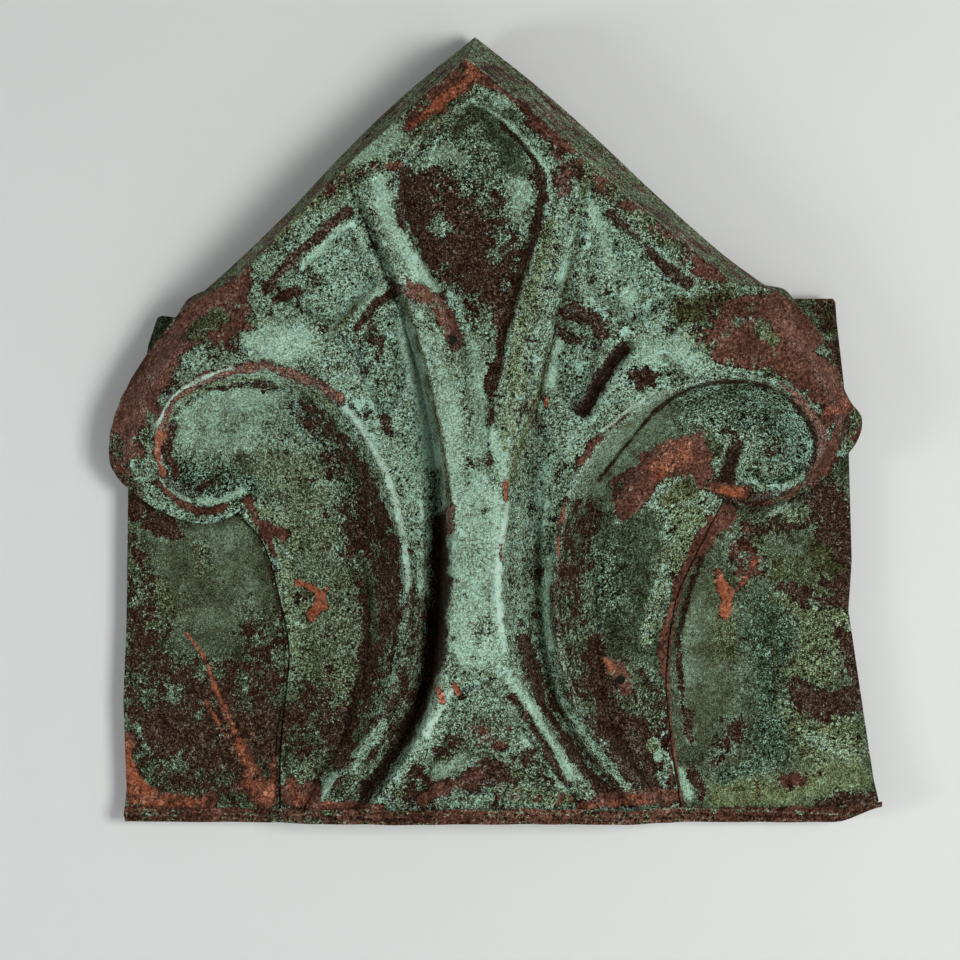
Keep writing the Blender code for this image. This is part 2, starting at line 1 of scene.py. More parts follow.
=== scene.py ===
"""Looks of a pressed copper post-cap front: stalk and lobe between two scrolls, under a verdigris crust.

Points are (x, z) or (x, z, height) in millimetres: X to the right, Z up, height towards the viewer (-Y).
Meshes are made in metres.
"""
import math

import bpy
import numpy as np
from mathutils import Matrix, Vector


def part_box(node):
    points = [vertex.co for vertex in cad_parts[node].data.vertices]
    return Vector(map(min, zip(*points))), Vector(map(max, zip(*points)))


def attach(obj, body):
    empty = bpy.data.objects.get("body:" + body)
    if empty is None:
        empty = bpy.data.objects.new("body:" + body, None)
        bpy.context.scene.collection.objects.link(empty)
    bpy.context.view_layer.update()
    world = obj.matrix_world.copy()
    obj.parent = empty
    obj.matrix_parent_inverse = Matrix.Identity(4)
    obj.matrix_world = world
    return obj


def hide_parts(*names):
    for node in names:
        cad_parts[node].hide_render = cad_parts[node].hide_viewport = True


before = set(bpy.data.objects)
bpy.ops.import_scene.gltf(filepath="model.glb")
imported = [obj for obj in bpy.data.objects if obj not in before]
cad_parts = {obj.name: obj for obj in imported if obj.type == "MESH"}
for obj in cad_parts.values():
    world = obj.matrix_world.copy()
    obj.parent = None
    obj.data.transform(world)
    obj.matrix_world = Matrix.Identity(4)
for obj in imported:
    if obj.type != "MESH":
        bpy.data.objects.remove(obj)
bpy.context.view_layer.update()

MM = 0.001

# ---------------------------------------------------------------- sizes
SHEET = 0.9          # thickness of the pressed sheets
WING = 0.8           # height of the flat wing sheets' front
STEP = 1.1           # spacing of the mesh points on the sheets
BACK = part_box("back_strap")[1].y / MM

# Area that the relief and patina maps cover, one cell a millimetre
CELL = 1.0
X_MIN, X_MAX = -240.0, 248.0
Z_MIN, Z_MAX = -6.0, 482.0
COLUMNS = int((X_MAX - X_MIN) / CELL) + 1
ROWS = int((Z_MAX - Z_MIN) / CELL) + 1

# ---------------------------------------------------------------- design lines
# Outline of the front, where the face folds back
GABLE_L = [(-8, 454, 40), (-56, 411, 40), (-79, 390, 40), (-106, 362, 39), (-146, 322, 36)]
GABLE_R = [(-8, 454, 40), (38, 416, 40), (64, 393, 40), (94, 366, 39), (151, 321, 36)]
EDGE_L = [(-146, 322, 36), (-165, 314, 25), (-182, 301, 17), (-204, 272, 12), (-218, 243, 11),
          (-221, 217, 9), (-211, 201, 7), (-190, 186, 5), (-165, 179, 4), (-145, 186, 5), (-134, 200, 8)]
EDGE_R = [(151, 321, 36), (172, 318, 25), (190, 308, 17), (208, 284, 12), (219, 256, 11),
          (228, 241, 11), (223, 226, 9), (208, 208, 7), (186, 194, 5), (165, 189, 4), (146, 194, 5),
          (139, 205, 8)]

# Joints between the pressings
GROOVE_L = [(-79, 390, 40), (-66, 357, 34), (-46, 305, 28), (-31, 253, 24), (-24, 200, 18), (-26, 140, 13),
            (-30, 86, 11), (-43, 50, 10), (-66, 18, 8), (-79, 2, 6)]
GROOVE_R = [(64, 393, 40), (57, 350, 35), (43, 288, 32), (34, 240, 29), (31, 193, 24), (32, 128, 19),
            (41, 80, 14), (60, 42, 10), (88, 10, 6), (96, 2, 6)]
RIDGE_L = [(-134, 200, 8), (-152, 214, 15), (-140, 226, 19), (-124, 228, 22), (-108, 219, 24),
           (-92, 201, 23),
           (-79, 178, 18)]
RIDGE_R = [(139, 205, 8), (159, 217, 15), (152, 230, 18), (136, 235, 21), (118, 228, 23), (100, 216, 23),
           (84, 198, 22), (76, 174, 18)]
CREASE_L = [(-79, 178, 18), (-71, 155, 13), (-67, 125, 12), (-70, 90, 10), (-80, 58, 9), (-105, 12, 6),
            (-109, 2, 5)]
CREASE_R = [(76, 174, 18), (71, 150, 13), (71, 120, 12), (74, 85, 10), (84, 50, 8), (109, 12, 6),
            (113, 2, 5)]
SEAM_L = [(-145, 186, 5), (-129, 166, 4), (-118, 127, 4), (-114, 98, 4), (-119, 45, 4), (-119, 2, 4)]
SEAM_R = [(146, 194, 5), (130, 163, 4), (117, 133, 4), (111, 90, 4), (114, 48, 4), (121, 2, 4)]
GUSSET_L = [(3, 86, 41), (-13, 76, 38), (-22, 48, 28), (-38, 18, 20), (-48, 2, 18)]
GUSSET_R = [(3, 86, 41), (16, 72, 36), (33, 48, 27), (58, 16, 18), (66, 2, 17)]

# Rims and crests pressed inside the pieces
STALK_L = [(-76, 389, 40), (-60, 350, 43), (-41, 303, 45), (-26, 245, 47), (-18, 195, 47), (-17, 150, 46),
           (-20, 111, 44), (-28, 72, 37), (-42, 43, 30), (-64, 11, 21), (-71, 2, 20)]
STALK_R = [(61, 389, 40), (53, 350, 41), (39, 288, 42), (26, 236, 42), (18, 185, 41), (17, 128, 40),
           (24, 87, 35), (42, 51, 27), (70, 13, 18), (79, 2, 17)]
BAND_L = [(-66, 380, 44), (-53, 345, 47), (-34, 300, 49), (-19, 255, 50), (-11, 210, 50), (-9, 160, 49),
          (-8, 112, 47)]
BAND_R = [(52, 383, 45), (38, 326, 48), (28, 279, 49), (18, 229, 49), (13, 182, 49), (12, 135, 48),
          (16, 105, 43)]
LOBE_L = [(-3, 430, 44), (-33, 409, 44), (-49, 382, 44), (-41, 348, 45), (-24, 309, 46), (-12, 273, 47),
          (-5, 217, 48)]
LOBE_R = [(-3, 430, 44), (24, 409, 44), (40, 377, 44), (32, 339, 45), (19, 293, 46), (9, 246, 47),
          (5, 217, 48)]
FLOOR_L = [(-3, 426, 40), (-30, 405, 39), (-44, 381, 38), (-36, 346, 38), (-19, 307, 39), (-7, 270, 42),
           (-1, 228, 46)]
FLOOR_R = [(-3, 426, 40), (21, 405, 39), (34, 377, 38), (27, 340, 38), (14, 297, 39), (5, 255, 43),
           (1, 228, 46)]
FLOOR_C = [(-4, 405, 39), (-4, 350, 37), (-2, 300, 38)]
RIM_L = [(-162, 193, 12), (-182, 203, 20), (-191, 222, 28), (-187, 246, 33), (-166, 266, 37),
         (-130, 272, 40), (-100, 264, 40), (-72, 238, 40), (-54, 200, 39), (-45, 158, 37), (-43, 120, 35),
         (-50, 85, 31), (-68, 49, 24), (-100, 10, 13), (-105, 2, 12)]
RIM_R = [(164, 195, 12), (186, 201, 18), (201, 219, 26), (200, 238, 32), (184, 258, 36), (150, 266, 39),
         (114, 258, 40), (82, 238, 40), (62, 214, 39), (51, 190, 38), (44, 140, 36), (51, 87, 30),
         (70, 53, 23), (105, 14, 12), (110, 2, 10)]
SHOULDER_L = [(-136, 303, 39), (-166, 292, 34), (-189, 270, 29), (-203, 243, 25), (-207, 220, 22),
              (-198, 205, 15), (-180, 192, 8)]
SHOULDER_R = [(142, 302, 39), (172, 296, 34), (195, 275, 30), (208, 254, 26), (213, 238, 23),
              (208, 220, 16), (190, 203, 9)]
FLUTE_L = [(-166, 222, 10), (-152, 242, 11), (-126, 247, 14), (-101, 238, 15), (-83, 214, 13),
           (-72, 186, 11),
           (-66, 160, 10)]
FLUTE_R = [(182, 220, 9), (172, 242, 10), (146, 249, 13), (114, 241, 15), (88, 220, 13), (71, 198, 11),
           (63, 166, 10)]
LEAF_L = [(-120, 206, 21), (-100, 182, 21), (-86, 145, 19), (-82, 105, 16), (-90, 62, 12), (-108, 20, 6)]
LEAF_R = [(120, 208, 20), (102, 188, 20), (90, 150, 18), (88, 105, 15), (94, 60, 11), (108, 22, 6)]
LAP_L = [(-128, 180, 6), (-114, 160, 7), (-102, 127, 8), (-99, 95, 7), (-104, 50, 5)]
LAP_R = [(132, 186, 6), (114, 158, 7), (104, 130, 8), (100, 90, 7), (104, 50, 5)]
GUSSET_C = [(3, 80, 37), (2, 45, 27), (4, 25, 22), (4, 2, 18)]

# Sunk panels between the stalk and the scrolls
PANELS = [
    [(-76, 359, 39), (-103, 336, 39), (-131, 315, 37), (-106, 303, 36), (-86, 294, 36), (-56, 323, 36)],
    [(-48, 311, 36), (-63, 300, 37), (-77, 283, 37), (-68, 258, 37), (-56, 236, 35), (-42, 262, 31)],
    [(68, 374, 39), (94, 348, 39), (125, 325, 38), (111, 307, 36), (93, 294, 36), (72, 310, 36),
     (60, 322, 36)],
    [(46, 302, 34), (55, 306, 36), (66, 302, 37), (73, 287, 37), (66, 262, 36), (54, 240, 34),
     (43, 262, 30)],
]
PANEL_SHRINK = 0.80
PANEL_DEPTH = 5.0

# Beads and grooves chased into the sheets: (height, half width, points)
CHASED = [
    (1.7, 1.7, RIM_L), (1.5, 1.7, RIM_R),
    (1.2, 1.3, LOBE_L), (1.2, 1.3, LOBE_R),
    (-0.9, 1.6, [(58, 380), (50, 335), (37, 285), (27, 236), (20, 190), (18, 130)]),
    (1.0, 1.4, [(24, 196), (24, 130), (31, 84), (50, 46), (78, 10)]),
    (1.3, 1.8, [(38, 190), (37, 132), (44, 84), (62, 48), (96, 8)]),
    (1.1, 1.6, [(-35, 200), (-35, 140), (-39, 92), (-53, 55), (-84, 10)]),
    (2.0, 3.0, [(-76, 302), (-60, 316), (-48, 322)]),
    (2.0, 3.0, [(56, 318), (68, 309), (80, 296)]),
    (-7.0, 3.4, [(88, 284), (76, 270), (62, 246)]),
    (-2.2, 1.6, [(-72, 234), (-60, 236), (-48, 233)]),
    (3.0, 4.0, [(-22, 18), (-8, 26), (6, 25), (22, 17)]),
    (1.6, 2.2, [(16, 73), (36, 47), (57, 17)]),
    (1.8, 2.4, [(25, 79), (40, 55), (55, 36)]),
    (-1.8, 1.4, [(20, 75), (38, 50), (56, 27)]),
    (-1.5, 1.5, [(-146, 314), (-128, 306), (-118, 300)]),
    (-1.6, 1.5, [(70, 392), (100, 364), (135, 334)]),
    (1.5, 2.5, [(60, 210), (44, 232), (30, 262)]),
    (-2.0, 2.2, [(150, 216), (156, 224), (150, 233)]),
]

# Flat seats pressed round the nail and the holes: (x, z, height, radius)
SEATS = {
    "nail_leaf_left": (-90, 93, 12.0, 4.5),
    "hole_leaf_right": (84, 86, 12.0, 5.0),
    "hole_stalk": (-16, 288, 46.0, 3.0),
}
LAP_RIVETS = {
    "rivet_lap_left_upper": (-112, 167),
    "rivet_lap_left_lower": (-104, 31),
    "rivet_lap_right_upper": (132, 181),
    "rivet_lap_right_lower": (103, 46),
}

WING_OUT_L = [(-214, 2), (-212, 20), (-214, 73), (-212, 121), (-211, 205), (-199, 286), (-193, 304)]
WING_IN_L = [(-176, 302), (-150, 262), (-140, 215), (-112, 184), (-96, 150), (-90, 98), (-94, 45), (-94, 2)]
WING_OUT_R = [(210, 2), (226, 7), (239, 12), (236, 25), (229, 73), (225, 100), (221, 127), (223, 157),
              (221, 229), (218, 265), (214, 300), (213, 314)]
WING_IN_R = [(178, 314), (156, 262), (146, 225), (114, 190), (98, 150), (90, 98), (94, 45), (96, 2)]
RAKE_BACK_L = [(-3, 471), (-48, 434), (-84, 399), (-114, 367), (-144, 338), (-165, 319)]
RAKE_BACK_R = [(-3, 471), (36, 440), (72, 408), (108, 374), (144, 342), (171, 322)]
LEDGE_FRONT = [(-213, 3), (-130, 3), (-112, 12), (-76, 24), (4, 24), (80, 23), (112, 12), (130, 3),
               (241, 3)]


# ---------------------------------------------------------------- curves and maps
def spline(points, step):
    """Smooth curve through the points, sampled about every step."""
    p = np.array(points, float)
    ends = np.vstack([2 * p[0] - p[1], p, 2 * p[-1] - p[-2]])
    out = []
    for i in range(1, len(ends) - 2):
        a, b, c, d = ends[i - 1:i + 3]
        count = max(1, int(math.ceil(np.hypot(*(c - b)[:2]) / step)))
        t = np.linspace(0.0, 1.0, count, endpoint=False)[:, None]
        out.append(0.5 * (2 * b + (c - a) * t + (2 * a - 5 * b + 4 * c - d) * t ** 2
                          + (3 * b - a - 3 * c + d) * t ** 3))
    out.append(p[-1:])
    return np.vstack(out)


def straight(points, step):
    """Straight runs between the points, sampled about every step."""
    p = np.array(points, float)
    out = []
    for a, b in zip(p[:-1], p[1:]):
        count = max(1, int(math.ceil(np.hypot(*(b - a)[:2]) / step)))
        out.append(a + (b - a) * np.linspace(0.0, 1.0, count, endpoint=False)[:, None])
    out.append(p[-1:])
    return np.vstack(out)


def evenly(line, count):
    """The same line with a number of evenly spaced points."""
    p = np.array(line, float)
    run = np.concatenate([[0], np.cumsum(np.hypot(*np.diff(p[:, :2], axis=0).T))])
    at = np.linspace(0, run[-1], count)
    return np.array([np.interp(at, run, p[:, k]) for k in range(p.shape[1])]).T


def enlarge(grid, rows, columns):
    """The same map with more rows and columns, filled in between."""
    z = np.linspace(0, grid.shape[0] - 1, rows)
    x = np.linspace(0, grid.shape[1] - 1, columns)
    row = np.clip(z.astype(int), 0, grid.shape[0] - 2)
    column = np.clip(x.astype(int), 0, grid.shape[1] - 2)
    tz = (z - row)[:, None]
    tx = (x - column)[None]
    low = grid[row][:, column] * (1 - tx) + grid[row][:, column + 1] * tx
    high = grid[row + 1][:, column] * (1 - tx) + grid[row + 1][:, column + 1] * tx
    return low * (1 - tz) + high * tz


def blur(grid, sigma):
    """Gaussian blur of a map, sigma in cells."""
    reach = int(3 * sigma) + 1
    weights = np.exp(-0.5 * (np.arange(-reach, reach + 1) / sigma) ** 2)
    weights /= weights.sum()
    wide = np.pad(grid, reach, mode="edge")
    rows = sum(w * wide[k:k + grid.shape[0]] for k, w in enumerate(weights))
    return sum(w * rows[:, k:k + grid.shape[1]] for k, w in enumerate(weights))


def cloud(size, seed, octaves=3):
    """Soft random map between about -1 and 1, its largest blobs of a size in millimetres."""
    random = np.random.RandomState(seed)
    total = np.zeros((ROWS, COLUMNS))
    weight = 1.0
    for _ in range(octaves):
        count = int(max(4, (X_MAX - X_MIN) / size)) + 3
        lattice = random.uniform(-1, 1, (count, count))
        total += weight * blur(enlarge(lattice, ROWS, COLUMNS), max(size * 0.22, 0.6))
        weight *= 0.5
        size *= 0.5
    return total / 1.1


def sample(grid, x, z):
    """Values of a map at points."""
    column = np.clip((x - X_MIN) / CELL, 0, COLUMNS - 1.001)
    row = np.clip((z - Z_MIN) / CELL, 0, ROWS - 1.001)
    i = column.astype(int)
    j = row.astype(int)
    u = column - i
    v = row - j
    low = grid[j, i] * (1 - u) + grid[j, i + 1] * u
    high = grid[j + 1, i] * (1 - u) + grid[j + 1, i + 1] * u
    return low * (1 - v) + high * v


GRID_X, GRID_Z = np.meshgrid(X_MIN + CELL * np.arange(COLUMNS), Z_MIN + CELL * np.arange(ROWS))


def distance(lines, reach=30.0):
    """Map of the distance to the nearest of some lines, up to a reach."""
    out = np.full((ROWS, COLUMNS), float(reach))
    for line in lines:
        dense = spline(line, CELL) if len(line) > 2 else straight(line, CELL)
        for x, z in dense[:, :2]:
            c0 = max(int((x - X_MIN - reach) / CELL), 0)
            c1 = min(int((x - X_MIN + reach) / CELL) + 2, COLUMNS)
            r0 = max(int((z - Z_MIN - reach) / CELL), 0)
            r1 = min(int((z - Z_MIN + reach) / CELL) + 2, ROWS)
            if c1 <= c0 or r1 <= r0:
                continue
            window = out[r0:r1, c0:c1]
            away = np.hypot(GRID_X[r0:r1, c0:c1] - x, GRID_Z[r0:r1, c0:c1] - z)
            np.minimum(window, away, out=window)
    return out


def smoothstep(low, high, value):
    t = np.clip((value - low) / (high - low), 0.0, 1.0)
    return t * t * (3 - 2 * t)


# ---------------------------------------------------------------- relief
def solve_relief():
    """Heights of a sheet stretched over the design lines, from a coarse grid to a fine one."""
    lines = [GABLE_L, GABLE_R, EDGE_L, EDGE_R, GROOVE_L, GROOVE_R, RIDGE_L, RIDGE_R, CREASE_L, CREASE_R,
             SEAM_L,
             SEAM_R, GUSSET_L, GUSSET_R, STALK_L, STALK_R, BAND_L, BAND_R, LOBE_L, LOBE_R, FLOOR_L, FLOOR_R,
             FLOOR_C, RIM_L, RIM_R, SHOULDER_L, SHOULDER_R, FLUTE_L, FLUTE_R, LEAF_L, LEAF_R, LAP_L, LAP_R,
             GUSSET_C]
    loops = []
    for panel in PANELS:
        rim = np.array(panel, float)
        floor = rim.copy()
        middle = rim[:, :2].mean(axis=0)
        floor[:, :2] = middle + (rim[:, :2] - middle) * PANEL_SHRINK
        floor[:, 2] -= PANEL_DEPTH
        loops += [np.vstack([rim, rim[:1]]), np.vstack([floor, floor[:1]])]
    grid = None
    size = CELL * 16
    while size >= CELL:
        columns = int(round((X_MAX - X_MIN) / size)) + 1
        rows = int(round((Z_MAX - Z_MIN) / size)) + 1
        total = np.zeros((rows, columns))
        count = np.zeros((rows, columns))
        samples = [spline(line, size * 0.4) for line in lines] + [straight(loop, size * 0.4)
                                                                  for loop in loops]
        for line in samples:
            column = np.clip(np.round((line[:, 0] - X_MIN) / size).astype(int), 0, columns - 1)
            row = np.clip(np.round((line[:, 1] - Z_MIN) / size).astype(int), 0, rows - 1)
            np.add.at(total, (row, column), line[:, 2])
            np.add.at(count, (row, column), 1)
        held = count > 0
        height = total[held] / count[held]
        grid = np.full((rows, columns), 20.0) if grid is None else enlarge(grid, rows, columns)
        for _ in range(160):
            grid[held] = height
            wide = np.pad(grid, 1, mode="edge")
            grid = (wide[:-2, 1:-1] + wide[2:, 1:-1] + wide[1:-1, :-2] + wide[1:-1, 2:]) / 4
        grid[held] = height
        size /= 2
    return grid


def relief_map():
    """The pressed front: stretched sheet, softened crests, chased beads, dents and fixing seats."""
    grid = blur(solve_relief(), 1.1)
    soft = smoothstep(16, 5, distance([RIDGE_L, RIDGE_R, LEAF_L, LEAF_R, FLUTE_L, FLUTE_R], 18))
    soft *= smoothstep(1.5, 7, distance([RIM_L, RIM_R, CREASE_L[1:], CREASE_R[1:], EDGE_L, EDGE_R], 18))
    grid = grid * (1 - soft) + blur(grid, 4.0) * soft
    for height, width, points in CHASED:
        grid += height * np.exp(-(distance([points], 14) / width) ** 2)
    grid += 0.55 * cloud(46, 1) + 0.22 * cloud(13, 2)
    for x, z, height, radius in SEATS.values():
        away = np.hypot(GRID_X - x, GRID_Z - z)
        blend = smoothstep(radius, radius * 1.8, away)
        grid = height * (1 - blend) + grid * blend
    return grid


RELIEF = relief_map()
WAVES = 0.9 * cloud(70, 3, 2) + 0.25 * cloud(22, 4, 2)


# ---------------------------------------------------------------- patina maps
# What the patina maps tell the material, each from 0 to 1:
# how far the crust covers, how pale it is, how much copper is rubbed bare and how bright, how yellow the
# crust is, grime and painted shade, streaks, painted glints, speckle, pale flecks and how blue the crust is
CHANNELS = ("crust", "light", "copper", "bright", "moss", "grime_and_shade", "streak", "painted_glint", "grain", "pale", "teal")
FINISHES = {
    "base": {"crust": 0.68, "light": 0.54, "moss": 0.15, "grain": 1.0, "pale": 0.28},
    "wing": {"crust": 0.80, "light": 0.33, "grain": 0.6, "pale": 0.05},
    "mint": {"crust": 1.05, "light": 0.80, "grain": 0.55, "pale": 0.40},
    "mint_streaked": {"crust": 1.00, "light": 0.72, "grain": 0.6, "pale": 0.34, "streak": 0.7,
                      "copper": 0.3},
    "speckled": {"crust": 0.76, "light": 0.64, "moss": 0.15, "grain": 1.1, "pale": 0.42},
    "mottled": {"crust": 0.50, "light": 0.50, "grain": 1.0, "pale": 0.22},
    "panel": {"crust": 0.74, "light": 0.62, "grain": 1.2, "pale": 0.38, "teal": 0.15},
    "blue": {"crust": 0.85, "light": 0.62, "grain": 1.0, "pale": 0.30, "teal": 0.25},
    "lobe": {"crust": 0.74, "light": 0.43, "grain": 1.2, "pale": 0.30},
    "grey_green": {"crust": 0.95, "light": 0.64, "grain": 0.55, "pale": 0.24},
    "leaf": {"crust": 0.78, "light": 0.41, "moss": 0.5, "grain": 0.85, "pale": 0.16},
    "dark_leaf": {"crust": 0.56, "light": 0.30, "moss": 0.6, "grain": 0.9, "pale": 0.08, "copper": 0.15},
    "dark_green": {"crust": 0.85, "light": 0.24, "moss": 0.3, "grain": 0.7},
    "dark_grey": {"crust": 0.88, "light": 0.42, "grain": 1.3, "pale": 0.22, "teal": 0.2},
    "cells": {"crust": 0.75, "light": 0.58, "grain": 1.6, "pale": 0.40, "teal": 0.3},
    "teal": {"crust": 0.90, "light": 0.36, "grain": 1.1, "pale": 0.15, "teal": 0.75},
    "teal_dark": {"crust": 0.98, "light": 0.28, "grain": 0.6, "pale": 0.02, "teal": 0.4},
    "teal_black": {"crust": 0.72, "light": 0.38, "grain": 1.5, "pale": 0.25, "teal": 0.6, "grime_and_shade": 0.15},
    "lime": {"crust": 0.78, "light": 0.52, "moss": 0.8, "grain": 1.0, "pale": 0.22},
    "lime_wing": {"crust": 0.74, "light": 0.42, "moss": 1.0, "grain": 1.1, "pale": 0.18},
    "speckled_lime": {"crust": 0.78, "light": 0.60, "moss": 0.6, "grain": 1.2, "pale": 0.42},
    "olive": {"crust": 0.85, "light": 0.32, "moss": 0.9, "grain": 0.8, "pale": 0.08},
    "olive_dark": {"crust": 0.70, "light": 0.20, "moss": 1.0, "grain": 0.7, "grime_and_shade": 0.15},
    "khaki": {"crust": 0.72, "light": 0.48, "moss": 1.0, "grain": 0.6, "pale": 0.12, "copper": 0.6},
    "khaki_dark": {"crust": 0.72, "light": 0.34, "moss": 0.8, "grain": 0.9, "pale": 0.12, "copper": 0.5},
    "dusty": {"crust": 0.40, "light": 0.38, "moss": 0.3, "grain": 1.2, "pale": 0.18, "copper": 0.36},
    "dim": {"crust": 0.40, "light": 0.30, "moss": 0.2, "grain": 0.9, "pale": 0.06, "copper": 0.25},
    "folded": {"crust": 0.52, "light": 0.54, "moss": 0.8, "copper": 0.6, "grain": 0.8, "pale": 0.12,
               "streak": 0.7},
    "smooth": {"crust": 1.05, "light": 0.34, "grain": 0.40},
    "smooth_pale": {"crust": 1.05, "light": 0.46, "grain": 0.45},
    "grey_brown": {"crust": 0.44, "light": 0.46, "copper": 0.55, "grain": 0.8, "pale": 0.18},
    "grey_scratch": {"crust": 0.52, "light": 0.38, "grain": 0.7, "pale": 0.10, "streak": 0.6},
    "brown": {"crust": 0.14, "light": 0.42, "moss": 0.5, "copper": 0.90, "grain": 0.8, "pale": 0.08},
    "brown_red": {"crust": 0.02, "light": 0.40, "moss": 0.5, "copper": 1.0, "bright": 0.16, "grain": 0.8,
                  "pale": 0.02},
    "brown_green": {"crust": 0.52, "light": 0.38, "moss": 0.6, "copper": 0.60, "grain": 1.0, "pale": 0.14},
    "maroon": {"crust": 0.10, "light": 0.42, "grain": 0.9, "pale": 0.10},
    "maroon_speckled": {"crust": 0.36, "light": 0.44, "grain": 1.0, "pale": 0.20, "copper": 0.15},
    "speckled_dark": {"crust": 0.44, "light": 0.34, "moss": 0.5, "grain": 1.0, "pale": 0.12,
                      "copper": 0.25},
    "streaked_dark": {"crust": 0.46, "light": 0.37, "moss": 0.3, "grain": 0.9, "pale": 0.16,
                      "streak": 1.0, "copper": 0.3},
    "copper": {"crust": 0.05, "light": 0.40, "copper": 1.0, "bright": 0.85, "grain": 0.7},
    # bead: copper rim beads, with some painted highlight glints
    "bead": {"crust": 0.15, "light": 0.45, "copper": 1.0, "bright": 0.40, "grain": 0.7, "painted_glint": 0.25},
    "rust": {"crust": 0.12, "light": 0.35, "moss": 0.5, "copper": 1.0, "bright": 0.48, "grain": 0.8},
    "pale_edge": {"crust": 1.0, "light": 0.82, "grain": 0.6, "pale": 0.55},
    # white: painted highlight lines along rims and crests, pale crust with painted glints
    "white": {"crust": 1.00, "light": 0.92, "grain": 0.5, "pale": 0.60, "painted_glint": 1.0},
    "hem": {"crust": 0.28, "light": 0.36, "moss": 0.6, "copper": 0.60, "bright": 0.14, "grain": 1.0,
            "pale": 0.16,
            "streak": 1.1},
    # black: the nail's own dark colour, and painted shade where it is stroked into grooves, creases and laps
    "black": {"crust": 0.25, "light": 0.20, "grain": 0.8, "grime_and_shade": 0.80},
}

